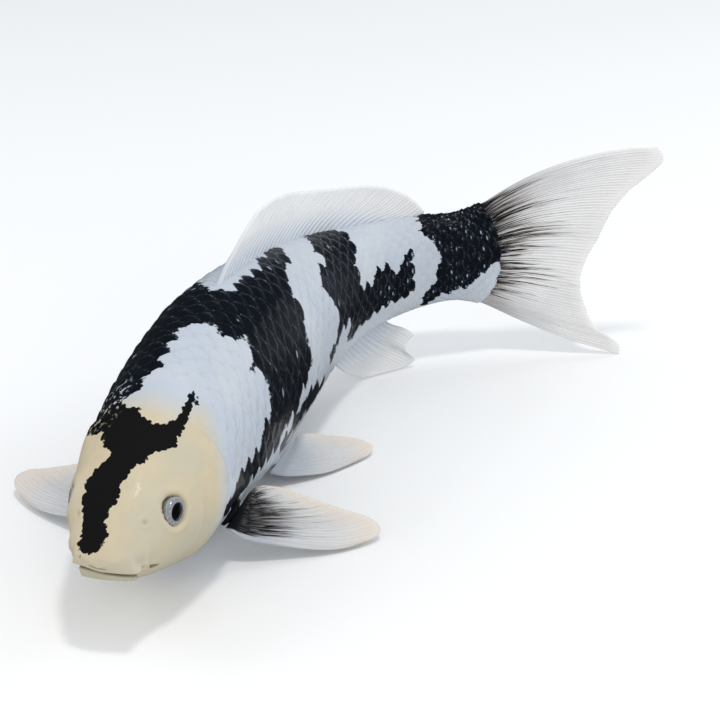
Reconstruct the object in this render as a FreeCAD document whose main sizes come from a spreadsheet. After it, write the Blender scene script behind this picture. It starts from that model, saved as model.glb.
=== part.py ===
"""Koi carp figure: a hollow moulded body with plug-in fins, inset eyes and barbels.

Millimetres, +Z up. The origin lies on the table in the middle of the flat the belly rests on,
the head faces -Y, and the fish's left side is +X. The backbone is a curve in plan that bends
towards the left; every section, fin and eye is placed by its distance along that curve.
"""
import FreeCAD, Part
import math
import os

from FreeCAD import Matrix, Placement, Vector

UP = Vector(0, 0, 1)

# name, value in millimetres or degrees, what it is
DRIVING_SIZES = [
    ("body_length", 240, "snout to the end of the peduncle, along the backbone"),
    ("backbone_height", 31.5, "backbone above the table at the snout"),
    ("backbone_rise", 7, "how much higher the backbone is at the peduncle"),
    ("front_bend", 10.5, "turn of the backbone in the front half, degrees"),
    ("rear_bend", 65.5, "further turn towards the tail, degrees"),
    ("rest_along", 95, "middle of the belly flat, along the backbone; the origin is under it"),
    ("wall", 2.5, "wall of the moulded body"),
    ("glue_gap", 0.05, "clearance round a fixed tongue, all sides"),
    ("swivel_gap", 0.06, "clearance round a turning neck and its flange"),
    ("blade_thickness", 1.6, "paired fin blade"),
    ("pectoral_neck", 3.5, "radius of the pectoral fin's neck"),
    ("pelvic_neck", 2.75, "radius of the pelvic fin's neck"),
    ("flange_lip", 1.3, "how far a flange and a collar stand out past the neck"),
    ("flange_thickness", 1.6, "inner flange of a plug"),
    ("socket_depth", 2.5, "recess for a fin's collar below the skin, on the plug's axis"),
    ("recess_gap", 0.18, "clearance round a collar in its recess"),
    ("web_thickness", 2.4, "wall between the collar recess and the inner flange"),
    ("bore_overrun", 1, "how far a neck's bore starts behind the web"),
    ("bore_length", 6, "length of the cut for a neck's bore"),
    ("boss_lip", 2.2, "extra radius of the boss inside the body"),
    ("boss_reach", 12, "length of a boss and of its recess cut, to beyond the skin"),
    ("back_cut", 5, "depth cleared behind a web for the inner flange"),
    ("eye_radius", 4.1, "outer radius of the silver eye ring"),
    ("pupil_radius", 2.6, "radius of the pupil button"),
    ("eye_post", 1.4, "radius of the post behind the eye cup"),
    ("eye_post_length", 3, "length of the post behind the eye cup"),
    ("eye_post_hole", 6, "length of the cut for an eye's post"),
    ("eye_cup_depth", 1.6, "depth of the eye socket below the skin"),
    ("eye_cup_floor", 1, "floor of the eye cup under the pupil"),
    ("eye_pocket", 12, "length of the eye socket's cut, to beyond the skin"),
    ("eye_proud", 0.9, "how far the eye ring stands out of the head"),
    ("eye_bevel", 0.5, "bevel on the rim of the eye ring, inwards"),
    ("eye_bevel_from", 0.2, "height where the rim's bevel starts, above the skin"),
    ("cornea_seat", 0.5, "depth of the clear dome's seat below the rim"),
    ("cornea_edge", 0.3, "straight edge of the clear dome"),
    ("cornea_lip", 0.7, "how far the clear dome reaches past the pupil"),
    ("cornea_rise", 1.1, "crown of the clear dome"),
    ("barbel_radius", 0.5, "root radius of a barbel"),
    ("barbel_length", 3.2, "length of a barbel outside the skin"),
    ("barbel_depth", 3.0, "length of a barbel's root inside the skin"),
    ("barbel_straight", 0.5, "straight length of a barbel outside the skin"),
    ("barbel_nib", 0.3, "length of a barbel's pointed end"),
    ("barbel_hole", 8, "length of the cut for a barbel"),
    ("table_reach", 200, "half size of the block that cuts the belly flat"),
    ("table_block", 20, "depth of the block that cuts the belly flat"),
    ("left_pectoral_turn", 0, "left pectoral fin at rest, turned up about its plug, degrees"),
    ("right_pectoral_turn", 6, "right pectoral fin at rest, degrees"),
    ("left_pelvic_turn", 0, "left pelvic fin at rest, degrees"),
    ("right_pelvic_turn", 0, "right pelvic fin at rest, degrees"),
]

# Where the two bends of the backbone start and how long they last, as shares of body_length
FRONT_BEND_SPAN = (0.2, 0.45)
REAR_BEND_SPAN = (0.6, 0.5)
RISE_END_SHARE = 1.1  # the backbone is level behind this share of body_length

# Body sections: share of body_length, half width, back above and belly below the backbone
BODY_STATIONS = [
    (-0.008, 4.0, 0.5, 4.5),
    (0.00, 7.0, 2.5, 6.5),
    (0.03, 12.0, 9.0, 12.0),
    (0.08, 17.0, 16.5, 18.0),
    (0.15, 21.0, 24.0, 24.0),
    (0.25, 23.0, 31.0, 30.0),
    (0.38, 24.0, 36.0, 35.0),
    (0.52, 22.5, 35.0, 35.0),
    (0.68, 17.5, 28.5, 28.5),
    (0.82, 12.0, 22.0, 20.0),
    (0.92, 8.5, 20.0, 16.0),
    (1.00, 7.0, 20.5, 15.5),
]
CAVITY_SHARES = (0.06, 0.15, 0.25, 0.38, 0.52, 0.68, 0.82, 0.92, 0.965)

# Dorsal fin: distance along the backbone, top edge above the backbone
DORSAL_EDGE = [
    (101, 36.5),
    (112, 41.0),
    (126, 46.0),
    (139, 49.0),
    (152, 47.5),
    (170, 42.5),
    (190, 37.5),
    (206, 34.0),
    (215, 29.5),
]
DORSAL_TIP = (222, 22.5)
DORSAL_HALF_THICKNESS = (1.2, 0.6)
TIP_OVER_SKIN = 0.9
TONGUE_DEPTH = 4.5

# Anal fin: distance along the backbone, lower edge below the backbone, lean to the left there
ANAL_EDGE = [
    (179, 25.5, 0.3),
    (186, 31.5, 2.0),
    (194, 35.3, 4.0),
    (204, 36.6, 5.5),
    (212, 36.5, 6.0),
]
ANAL_TIP = (219, 34.0, 5.0)
ANAL_TIP_CLEAR = 5.0
ANAL_TIP_LEAN_SHARE = 0.3
ANAL_HALF_THICKNESS = (1.1, 0.6)

# Tail fin: distance along the backbone, half thickness, top above and bottom below the backbone
TAIL_STATIONS = [
    (240.1, 6.8, 20.3, 15.3),
    (248, 4.2, 24.5, 18.5),
    (258, 2.4, 30.5, 24.0),
    (270, 1.6, 36.0, 29.5),
    (284, 1.2, 40.5, 35.0),
    (296, 1.0, 42.5, 38.0),
    (308, 0.8, 43.0, 40.0),
]
# Fork of the tail: distance along the backbone, height from the backbone
TAIL_FORK = [(307, 44), (298, 27), (287.5, 7.5), (281.5, -8), (284, -19), (290, -29), (299, -41)]
TAIL_CUT_REACH = 6
TAIL_CUT_END = 330
TAIL_TONGUE = {
    "start": 227.0,
    "middle": 234.0,
    "into_blade": 1.0,
    "half_thickness": 2.4,
    "top": 11.0,
    "bottom": 7.5,
}

# Paired fins in the fish's own directions: root on the skin, sweep back and droop of the span,
# pitch of the blade about its span, lead of the plug's axis ahead of the span in the blade's
# plane (which makes it square to the skin), and the outline as (span, chord) points
PECTORAL = {
    "along": 60.0,
    "side": 18.6,
    "drop": 18.2,
    "sweep": 26.5,
    "droop": 14.5,
    "pitch": 40.0,
    "plug_lead": 28.0,
    "front_edge": [(-1.5, -5.2), (3, -8), (10, -9), (23, -9.3), (36, -7.8), (45.5, -3.8)],
    "tip": (48.5, 0),
    "rear_edge": [(46.5, 2.6), (39, 4.7), (26, 7.5), (14, 10), (9, 9.6), (5.6, 7.2)],
}
PELVIC = {
    "along": 110.0,
    "side": 15.4,
    "drop": 27.0,
    "sweep": 50.0,
    "droop": 9.0,
    "pitch": 30.0,
    "plug_lead": 50.0,
    "front_edge": [(-3.5, -4.9), (1, -6.7), (8, -7.5), (15, -7.6), (24, -6.0), (33, -3.4)],
    "tip": (38.0, 0.4),
    "rear_edge": [(36, 3.2), (31, 5.2), (24, 6.8), (17, 8.4), (13, 8.5), (10.5, 6.8)],
}

# Collar of a paired fin: its edge and its crown above the skin, and the crown's share of the neck
COLLAR_TOP = 0.4
COLLAR_CROWN = 1.6
COLLAR_CROWN_SHARE = 0.6

# Eyes and barbels: place on the head, and the direction they point in
EYE = {"along": 18.5, "side": 16.0, "rise": 6.2, "yaw": -15.0, "lift": 6.0}
POST_HOLE_SPARE = 0.5  # how much deeper an eye's hole is than its post
DOME_STEPS = 6  # straight steps in the clear dome's half profile
BARBEL = {"along": 9.8, "side": 11.7, "drop": 7.2, "yaw": 48.0, "lift": -14.0}
BARBEL_NIB_SHARE = 0.5

doc = FreeCAD.newDocument("koi_carp_figure")


def make_sheet():
    """Spreadsheet of the driving sizes, one alias each."""
    sheet = doc.addObject("Spreadsheet::Sheet", "sizes")
    for row, (name, value, meaning) in enumerate(DRIVING_SIZES, start=1):
        sheet.set(f"A{row}", name)
        sheet.set(f"B{row}", str(value))
        sheet.set(f"C{row}", meaning)
        sheet.setAlias(f"B{row}", name)
    doc.recompute()
    return sheet


sheet = make_sheet()


def size(name):
    """Value of one driving size."""
    return float(sheet.get(name))


# ---------------------------------------------------------------- backbone

def smooth_step(x):
    x = min(max(x, 0.0), 1.0)
    return x * x * (3 - 2 * x)


def heading(along):
    """Turn of the backbone away from +Y, in radians, at a distance from the snout."""
    share = along / size("body_length")
    front_start, front_length = FRONT_BEND_SPAN
    rear_start, rear_length = REAR_BEND_SPAN
    front = size("front_bend") * smooth_step((share - front_start) / front_length)
    rear = size("rear_bend") * smooth_step((share - rear_start) / rear_length)
    return math.radians(front + rear)


def backbone_height(along):
    share = min(along / size("body_length"), RISE_END_SHARE)
    return size("backbone_height") + size("backbone_rise") * share


def backbone_point(along):
    """Integrate the heading from the belly flat with the midpoint rule, in steps near 1 mm."""
    start = size("rest_along")
    steps = max(1, round(abs(along - start)))
    step = (along - start) / steps
    headings = [heading(start + (i + 0.5) * step) for i in range(steps)]
    x = sum(math.sin(turn) for turn in headings) * step
    y = sum(math.cos(turn) for turn in headings) * step
    return Vector(x, y, backbone_height(along))


def directions(along):
    """Unit vectors to the fish's left and towards its tail."""
    turn = heading(along)
    left = Vector(math.cos(turn), -math.sin(turn), 0)
    tailward = Vector(math.sin(turn), math.cos(turn), 0)
    return left, tailward


def place(along, side, rise):
    """Point from its distance along the backbone, offset to the left and height above it."""
    left, _ = directions(along)
    return backbone_point(along) + left * side + UP * rise


def body_section(along):
    """Half width, back and belly of the body, read between the stations."""
    share = along / size("body_length")
    for lower, upper in zip(BODY_STATIONS, BODY_STATIONS[1:]):
        if lower[0] <= share <= upper[0]:
            mix = (share - lower[0]) / (upper[0] - lower[0])
            return [a + (b - a) * mix for a, b in zip(lower[1:], upper[1:])]
    return list(BODY_STATIONS[-1][1:])


# ---------------------------------------------------------------- sections and lofts

QUARTER = 0.5523  # handle length of a Bezier quarter ellipse, as a share of its half axis


def quarter_arc(centre, start, end):
    """Quarter of an ellipse from centre + start to centre + end."""
    curve = Part.BezierCurve()
    curve.setPoles([
        centre + start,
        centre + start + end * QUARTER,
        centre + end + start * QUARTER,
        centre + end,
    ])
    return curve.toShape()


def egg_wire(along, half_width, top, bottom):
    """Closed section of four quarter ellipses, upright and square to the backbone."""
    centre = backbone_point(along)
    left, _ = directions(along)
    ring = [left * half_width, UP * top, left * -half_width, UP * -bottom]
    arcs = [quarter_arc(centre, ring[i], ring[(i + 1) % 4]) for i in range(4)]
    return Part.Wire(arcs)


def strip_wire(along, low, high):
    """Closed four-sided section of a fin sheet: low and high are (side, rise, half thickness)."""
    corners = [
        place(along, low[0] - low[2], low[1]),
        place(along, low[0] + low[2], low[1]),
        place(along, high[0] + high[2], high[1]),
        place(along, high[0] - high[2], high[1]),
    ]
    return Part.makePolygon(corners + corners[:1])


def section_object(name, wire):
    section = doc.addObject("Part::Feature", name)
    section.Shape = wire
    return section


def loft(name, wires):
    sections = [section_object(f"{name}_section_{i}", wire) for i, wire in enumerate(wires)]
    body = doc.addObject("Part::Loft", name)
    body.Sections = sections
    body.Solid = True
    body.Ruled = False
    return body


def frame_placement(origin, x_axis, y_axis):
    """Placement whose local X and Y point along two square unit vectors."""
    z_axis = x_axis.cross(y_axis)
    matrix = Matrix(
        x_axis.x, y_axis.x, z_axis.x, origin.x,
        x_axis.y, y_axis.y, z_axis.y, origin.y,
        x_axis.z, y_axis.z, z_axis.z, origin.z,
        0, 0, 0, 1,
    )
    return Placement(matrix)


def axis_placement(origin, axis):
    """Placement whose local Z points along axis, for cylinders and turned pieces."""
    side = axis.cross(UP)
    side.normalize()
    return frame_placement(origin, side, axis.cross(side))


def cylinder(name, origin, axis, radius, height):
    """Cylinder along axis; radius and height are expressions on the sheet."""
    rod = doc.addObject("Part::Cylinder", name)
    rod.setExpression("Radius", radius)
    rod.setExpression("Height", height)
    rod.Placement = axis_placement(origin, axis)
    return rod


def aim(along, side_sign, yaw, lift):
    """Direction that points out of one side, yawed towards the tail and lifted."""
    left, tailward = directions(along)
    turn = math.radians(yaw)
    tilt = math.radians(lift)
    level = left * (side_sign * math.cos(turn)) + tailward * math.sin(turn)
    return level * math.cos(tilt) + UP * math.sin(tilt)


# ---------------------------------------------------------------- paired fins

def fin_frame(fin, side_sign):
    """Root point, span direction and chord direction of a paired fin."""
    along = fin["along"]
    root = place(along, side_sign * fin["side"], -fin["drop"])
    span = aim(along, side_sign, fin["sweep"], -fin["droop"])
    rearward = aim(along, side_sign, fin["sweep"] + 90, 0)
    upward = aim(along, side_sign, fin["sweep"], 90 - fin["droop"])
    pitch = math.radians(fin["pitch"])
    chord = rearward * math.cos(pitch) + upward * math.sin(pitch)
    return root, span, chord


def plane_of(body, role):
    return next(item for item in body.Origin.OriginFeatures if item.Role == role)


def new_sketch(body, name, role="XY_Plane"):
    sketch = body.newObject("Sketcher::SketchObject", name)
    sketch.AttachmentSupport = [(plane_of(body, role), "")]
    sketch.MapMode = "FlatFace"
    return sketch


def draw_blade(sketch, fin):
    """Blade outline: one smooth curve from the front of the root round the tip to the rear."""
    points = [Vector(x, y, 0) for x, y in fin["front_edge"] + [fin["tip"]] + fin["rear_edge"]]
    curve = Part.BSplineCurve()
    curve.interpolate(points)
    sketch.addGeometry(curve)
    sketch.addGeometry(Part.LineSegment(points[-1], points[0]))


def draw_plug(sketch, neck, lead):
    """Half profile of the collar, neck and inner flange beside the plug's axis."""
    gap = size("swivel_gap")
    lip = size("flange_lip")
    floor = -size("socket_depth")
    web = floor - size("web_thickness")
    profile = [
        (web - gap - size("flange_thickness"), 0),
        (web - gap - size("flange_thickness"), neck + lip),
        (web - gap, neck + lip),
        (web - gap, neck),
        (floor + gap, neck),
        (floor + gap, neck + lip),
        (COLLAR_TOP, neck + lip),
        (COLLAR_CROWN, neck * COLLAR_CROWN_SHARE),
        (COLLAR_CROWN, 0),
    ]
    turn = math.radians(-lead)
    points = [
        Vector(x * math.cos(turn) - y * math.sin(turn), x * math.sin(turn) + y * math.cos(turn), 0)
        for x, y in profile
    ]
    for start, end in zip(points, points[1:] + points[:1]):
        sketch.addGeometry(Part.LineSegment(start, end))
    sketch.addGeometry(Part.LineSegment(points[-1], points[0]), True)


def make_paired_fin(label, fin, neck_name, side_sign):
    """Flat blade padded both ways from its middle plane, with a turned plug at its root."""
    body = doc.addObject("PartDesign::Body", label)
    outline = new_sketch(body, f"{label}_outline")
    draw_blade(outline, fin)
    blade = body.newObject("PartDesign::Pad", f"{label}_blade")
    blade.Profile = outline
    blade.SideType = "Symmetric"
    blade.setExpression("Length", "sizes.blade_thickness")
    doc.recompute()
    profile = new_sketch(body, f"{label}_profile")
    draw_plug(profile, size(neck_name), fin["plug_lead"])
    plug = body.newObject("PartDesign::Revolution", f"{label}_plug")
    plug.Profile = profile
    plug.ReferenceAxis = (profile, ["Axis0"])
    plug.Angle = 360
    root, axis = plug_axis(fin, side_sign)
    turned_up = FreeCAD.Rotation(axis * side_sign, size(f"{label[:-4]}_turn"))
    about_plug = Placement(root, turned_up, Vector(0, 0, 0)) * Placement(root * -1, FreeCAD.Rotation())
    body.Placement = about_plug * frame_placement(*fin_frame(fin, side_sign))
    body.Label = label
    return body


def plug_axis(fin, side_sign):
    """Root point and outward direction of the axis that a paired fin turns about."""
    root, span, chord = fin_frame(fin, side_sign)
    lead = math.radians(fin["plug_lead"])
    return root, span * math.cos(lead) - chord * math.sin(lead)


def fin_socket(name, fin, neck_name, side_sign):
    """Boss added inside the body, and the recess, bore and back face cut for a fin's plug."""
    root, axis = plug_axis(fin, side_sign)
    recess_floor = root - axis * size("socket_depth")
    back_face = recess_floor - axis * size("web_thickness")
    boss_radius = f"sizes.{neck_name} + sizes.flange_lip + sizes.boss_lip"
    boss = cylinder(f"{name}_boss", back_face, axis, boss_radius, "sizes.boss_reach")
    recess_radius = f"sizes.{neck_name} + sizes.flange_lip + sizes.recess_gap"
    recess = cylinder(f"{name}_recess", recess_floor, axis, recess_radius, "sizes.boss_reach")
    bore_start = back_face - axis * size("bore_overrun")
    bore_radius = f"sizes.{neck_name} + sizes.swivel_gap"
    bore = cylinder(f"{name}_bore", bore_start, axis, bore_radius, "sizes.bore_length")
    back = cylinder(f"{name}_back", back_face, axis * -1, boss_radius, "sizes.back_cut")
    return boss, [recess, bore, back]


# ---------------------------------------------------------------- unpaired fins

def dorsal_wires(gap):
    """Upright strips from the tongue inside the back to the top edge, grown by a gap."""
    root, edge = DORSAL_HALF_THICKNESS
    wires = []
    for along, top in DORSAL_EDGE:
        skin = body_section(along)[1]
        low = (0, skin - TONGUE_DEPTH - gap, root + gap)
        first = gap if along == DORSAL_EDGE[0][0] else 0
        wires.append(strip_wire(along - first, low, (0, top + gap, edge + gap)))
    along, top = DORSAL_TIP
    low = (0, body_section(along)[1] + TIP_OVER_SKIN - gap, edge + gap)
    wires.append(strip_wire(along + gap, low, (0, top + gap, edge + gap)))
    return wires


def anal_wires(gap):
    """Strips that hang from the belly line and lean to the left, grown by a gap."""
    root, edge = ANAL_HALF_THICKNESS
    wires = []
    for along, bottom, lean in ANAL_EDGE:
        skin = body_section(along)[2]
        high = (0, TONGUE_DEPTH - skin + gap, root + gap)
        first = gap if along == ANAL_EDGE[0][0] else 0
        wires.append(strip_wire(along - first, (lean, -bottom - gap, edge + gap), high))
    along, bottom, lean = ANAL_TIP
    high = (lean * ANAL_TIP_LEAN_SHARE, -body_section(along)[2] - ANAL_TIP_CLEAR + gap, edge + gap)
    wires.append(strip_wire(along + gap, (lean, -bottom - gap, edge + gap), high))
    return wires


def fork_cutter():
    """Block that cuts the fork; the backbone is straight there, so its outline is flat."""
    straight_from = TAIL_STATIONS[3][0]
    origin = backbone_point(straight_from)
    left, tailward = directions(straight_from)

    def fork_point(along, rise):
        return origin + tailward * (along - straight_from) + UP * rise - left * TAIL_CUT_REACH

    points = [fork_point(along, rise) for along, rise in TAIL_FORK]
    behind = [fork_point(TAIL_CUT_END, rise) for rise in (TAIL_FORK[-1][1], TAIL_FORK[0][1])]
    edge = Part.BSplineCurve()
    edge.interpolate(points)
    corners = [points[-1]] + behind + [points[0]]
    sides = [Part.makeLine(start, end) for start, end in zip(corners, corners[1:])]
    cutter = doc.addObject("Part::Extrusion", "tail_fork")
    cutter.Base = section_object("tail_fork_outline", Part.Wire([edge.toShape()] + sides))
    cutter.DirMode = "Custom"
    cutter.Dir = left
    cutter.LengthFwd = 2 * TAIL_CUT_REACH
    cutter.Solid = True
    return cutter


def make_caudal_fin():
    """Blade that thins from the peduncle's oval, forked behind, with a tongue in front."""
    forked = doc.addObject("Part::Cut", "tail_forked")
    forked.Base = loft("tail_blade", [egg_wire(*station) for station in TAIL_STATIONS])
    forked.Tool = fork_cutter()
    fin = doc.addObject("Part::Fuse", "caudal_fin")
    fin.Base = forked
    fin.Tool = loft("tail_tongue", tongue_wires(0))
    fin.Label = "caudal_fin"
    return fin


def tongue_wires(gap):
    """Flat tongue of the tail fin that passes the peduncle's end wall."""
    half = TAIL_TONGUE["half_thickness"] + gap
    top = TAIL_TONGUE["top"] + gap
    bottom = -TAIL_TONGUE["bottom"] - gap
    rear = TAIL_STATIONS[0][0] + TAIL_TONGUE["into_blade"]
    ends = (TAIL_TONGUE["start"] - gap, TAIL_TONGUE["middle"], rear)
    return [strip_wire(along, (0, bottom, half), (0, top, half)) for along in ends]


# ---------------------------------------------------------------- eyes and barbels

def eye_frame(side_sign):
    centre = place(EYE["along"], side_sign * EYE["side"], EYE["rise"])
    return centre, aim(EYE["along"], side_sign, EYE["yaw"], EYE["lift"])


def turned(label, profile, origin, axis):
    """Solid of revolution: profile points are (distance along axis, radius)."""
    body = doc.addObject("PartDesign::Body", label)
    sketch = new_sketch(body, f"{label}_profile", "XZ_Plane")
    points = [Vector(radius, rise, 0) for rise, radius in profile]
    for start, end in zip(points, points[1:] + points[:1]):
        sketch.addGeometry(Part.LineSegment(start, end))
    turn = body.newObject("PartDesign::Revolution", f"{label}_turn")
    turn.Profile = sketch
    turn.ReferenceAxis = (sketch, ["V_Axis"])
    turn.Angle = 360
    body.Placement = axis_placement(origin, axis)
    body.Label = label
    return body


def make_eye(side_name, side_sign):
    """Silver cup with a post, a black pupil button in it and a clear dome on top."""
    centre, axis = eye_frame(side_sign)
    outer = size("eye_radius")
    inner = size("pupil_radius")
    floor = -size("eye_cup_depth")
    cup_floor = floor + size("eye_cup_floor")
    post_end = floor - size("eye_post_length")
    rim = size("eye_proud")
    post = size("eye_post")
    lip = size("cornea_lip")
    gap = size("glue_gap")
    seat = rim - size("cornea_seat")
    cup = [
        (post_end, 0),
        (post_end, post),
        (floor, post),
        (floor, outer),
        (size("eye_bevel_from"), outer),
        (rim, outer - size("eye_bevel")),
        (rim, inner + lip),
        (seat, inner + lip),
        (seat, inner + gap),
        (cup_floor, inner + gap),
        (cup_floor, 0),
    ]
    pupil_base = cup_floor + gap
    pupil_face = seat - gap
    pupil = [(pupil_base, 0), (pupil_base, inner), (pupil_face, inner), (pupil_face, 0)]
    dome_radius = inner + lip - gap
    dome_edge = seat + size("cornea_edge")
    crown = size("cornea_rise")
    dome = [(seat, 0), (seat, dome_radius)]
    for step in range(DOME_STEPS):
        angle = math.pi / 2 * step / DOME_STEPS
        dome.append((dome_edge + crown * math.sin(angle), dome_radius * math.cos(angle)))
    dome.append((dome_edge + crown, 0))
    turned(f"{side_name}_eye_iris", cup, centre, axis)
    turned(f"{side_name}_eye_pupil", pupil, centre, axis)
    turned(f"{side_name}_eye_cornea", dome, centre, axis)


def eye_socket(name, side_sign):
    centre, axis = eye_frame(side_sign)
    pocket = cylinder(
        f"{name}_pocket",
        centre - axis * (size("eye_cup_depth") + size("glue_gap")),
        axis,
        "sizes.eye_radius + sizes.glue_gap",
        "sizes.eye_pocket",
    )
    post_hole = cylinder(
        f"{name}_post_hole",
        centre - axis * (size("eye_cup_depth") + size("eye_post_length") + POST_HOLE_SPARE),
        axis,
        "sizes.eye_post + sizes.glue_gap",
        "sizes.eye_post_hole",
    )
    return [pocket, post_hole]


def barbel_frame(side_sign):
    root = place(BARBEL["along"], side_sign * BARBEL["side"], -BARBEL["drop"])
    return root, aim(BARBEL["along"], side_sign, BARBEL["yaw"], BARBEL["lift"])


def make_barbel(side_name, side_sign):
    root, axis = barbel_frame(side_sign)
    radius = size("barbel_radius")
    length = size("barbel_length")
    buried = -size("barbel_depth")
    profile = [
        (buried, 0),
        (buried, radius),
        (size("barbel_straight"), radius),
        (length - size("barbel_nib"), radius * BARBEL_NIB_SHARE),
        (length, 0),
    ]
    turned(f"{side_name}_barbel", profile, root, axis)


def barbel_hole(name, side_sign):
    root, axis = barbel_frame(side_sign)
    radius = "sizes.barbel_radius + sizes.glue_gap"
    depth = size("barbel_depth") + size("glue_gap")
    return [cylinder(f"{name}_hole", root - axis * depth, axis, radius, "sizes.barbel_hole")]


# ---------------------------------------------------------------- body

def table_block():
    """Block below the table plane that cuts the belly flat."""
    reach = size("table_reach")
    block = doc.addObject("Part::Box", "table_flat")
    block.setExpression("Length", "sizes.table_reach * 2")
    block.setExpression("Width", "sizes.table_reach * 2")
    block.setExpression("Height", "sizes.table_block")
    block.Placement = Placement(Vector(-reach, -reach, -size("table_block")), FreeCAD.Rotation())
    return block


def make_body_shell():
    """Outer loft, hollowed, with bosses for the turning fins and every hole and slot cut."""
    length = size("body_length")
    wall = size("wall")
    skin = loft("skin", [egg_wire(share * length, *half) for share, *half in BODY_STATIONS])
    cavity_wires = []
    for share in CAVITY_SHARES:
        section = [reach - wall for reach in body_section(share * length)]
        cavity_wires.append(egg_wire(share * length, *section))
    cavity = loft("cavity", cavity_wires)
    hollow = doc.addObject("Part::Cut", "hollow")
    hollow.Base = skin
    hollow.Tool = cavity

    bosses = []
    cuts = []
    for fin_name, fin, neck_name in (
        ("pectoral", PECTORAL, "pectoral_neck"),
        ("pelvic", PELVIC, "pelvic_neck"),
    ):
        for side_name, side_sign in (("left", 1), ("right", -1)):
            boss, tools = fin_socket(f"{side_name}_{fin_name}", fin, neck_name, side_sign)
            trimmed = doc.addObject("Part::Common", f"{side_name}_{fin_name}_boss_in_skin")
            trimmed.Base = boss
            trimmed.Tool = skin
            bosses.append(trimmed)
            cuts += tools
    for side_name, side_sign in (("left", 1), ("right", -1)):
        cuts += eye_socket(f"{side_name}_eye", side_sign)
        cuts += barbel_hole(f"{side_name}_barbel", side_sign)
    gap = size("glue_gap")
    cuts.append(loft("dorsal_slot", dorsal_wires(gap)))
    cuts.append(loft("anal_slot", anal_wires(gap)))
    cuts.append(loft("tail_slot", tongue_wires(gap)))
    cuts.append(table_block())

    stiffened = doc.addObject("Part::MultiFuse", "stiffened")
    stiffened.Shapes = [hollow] + bosses
    openings = doc.addObject("Part::MultiFuse", "openings")
    openings.Shapes = cuts
    shell = doc.addObject("Part::Cut", "body_shell")
    shell.Base = stiffened
    shell.Tool = openings
    shell.Label = "body_shell"
    return shell


def build():
    make_body_shell()
    dorsal = loft("dorsal_fin", dorsal_wires(0))
    dorsal.Label = "dorsal_fin"
    anal = loft("anal_fin", anal_wires(0))
    anal.Label = "anal_fin"
    make_caudal_fin()
    for side_name, side_sign in (("left", 1), ("right", -1)):
        make_paired_fin(f"{side_name}_pectoral_fin", PECTORAL, "pectoral_neck", side_sign)
        make_paired_fin(f"{side_name}_pelvic_fin", PELVIC, "pelvic_neck", side_sign)
        make_eye(side_name, side_sign)
        make_barbel(side_name, side_sign)
    doc.recompute()


NODES = ["body_shell", "dorsal_fin", "anal_fin", "caudal_fin"]
for side in ("left", "right"):
    NODES += [f"{side}_pectoral_fin", f"{side}_pelvic_fin", f"{side}_barbel"]
    NODES += [f"{side}_eye_iris", f"{side}_eye_pupil", f"{side}_eye_cornea"]


def check_and_write():
    """Stop on any failed object or bad shape, then write one STEP file per node."""
    for item in doc.Objects:
        if "Invalid" in item.State or "Error" in item.State:
            raise RuntimeError(f"{item.Name} failed: {item.State}")
    os.makedirs("parts", exist_ok=True)
    for node in NODES:
        shape = doc.getObjectsByLabel(node)[0].Shape
        if shape.isNull() or not shape.isValid() or len(shape.Solids) != 1:
            raise RuntimeError(f"{node} is not one valid solid: {len(shape.Solids)}")
        shape.exportStep(os.path.join("parts", f"{node}.step"))
        print(f"{node}: {shape.Volume / 1000:.2f} cm3")


build()
check_and_write()
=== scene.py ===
"""Looks of the koi carp figure: painted skin with raised scales, rayed fins, eyes and barbels.

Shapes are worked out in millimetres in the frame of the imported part, and add_piece() turns them
into metres. Most of them are laid out by their distance along the fish's curved backbone.
"""

import math
from types import SimpleNamespace

import bmesh
import bpy
import numpy as np
from mathutils import Matrix, Vector


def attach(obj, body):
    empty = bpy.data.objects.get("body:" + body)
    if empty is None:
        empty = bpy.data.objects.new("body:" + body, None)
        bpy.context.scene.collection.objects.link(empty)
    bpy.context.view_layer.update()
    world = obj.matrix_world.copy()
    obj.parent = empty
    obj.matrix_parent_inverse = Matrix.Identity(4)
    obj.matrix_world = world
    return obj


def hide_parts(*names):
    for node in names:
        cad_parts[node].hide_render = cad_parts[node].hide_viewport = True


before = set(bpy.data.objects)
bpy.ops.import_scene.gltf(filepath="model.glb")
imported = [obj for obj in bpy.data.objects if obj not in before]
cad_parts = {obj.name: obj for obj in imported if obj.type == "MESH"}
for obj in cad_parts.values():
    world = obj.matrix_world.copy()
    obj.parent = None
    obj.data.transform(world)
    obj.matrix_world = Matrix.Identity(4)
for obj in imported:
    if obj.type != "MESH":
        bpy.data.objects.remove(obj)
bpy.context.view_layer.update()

MM = 0.001
FAR_AWAY = 1e9
TINY = 1e-9  # keeps a division from failing where a length is nothing

# ---------- backbone and body form

BODY_LENGTH = 240.0
REST_ALONG = 95.0  # the frame's origin is under this place on the backbone
BACKBONE_HEIGHT = 31.5
BACKBONE_RISE = 7.0  # over the length of the body; it goes on a little behind it
RISE_END = 1.1
# bends to the left: degrees, and the shares of the body's length where they start and that they take
BENDS = [(10.5, 0.2, 0.45), (65.5, 0.6, 0.5)]

# distance along the backbone, half width, back above and belly below the backbone
BODY_STATIONS = np.array([
    (-1.92, 4.0, 0.5, 4.5),
    (0.0, 7.0, 2.5, 6.5),
    (7.2, 12.0, 9.0, 12.0),
    (19.2, 17.0, 16.5, 18.0),
    (36.0, 21.0, 24.0, 24.0),
    (60.0, 23.0, 31.0, 30.0),
    (91.2, 24.0, 36.0, 35.0),
    (124.8, 22.5, 35.0, 35.0),
    (163.2, 17.5, 28.5, 28.5),
    (196.8, 12.0, 22.0, 20.0),
    (220.8, 8.5, 20.0, 16.0),
    (240.0, 7.0, 20.5, 15.5),
    (248.0, 4.3, 24.6, 18.6),
    (258.0, 2.5, 30.6, 24.1),
])


def smooth_step(x):
    x = np.clip(x, 0.0, 1.0)
    return x * x * (3 - 2 * x)


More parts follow.
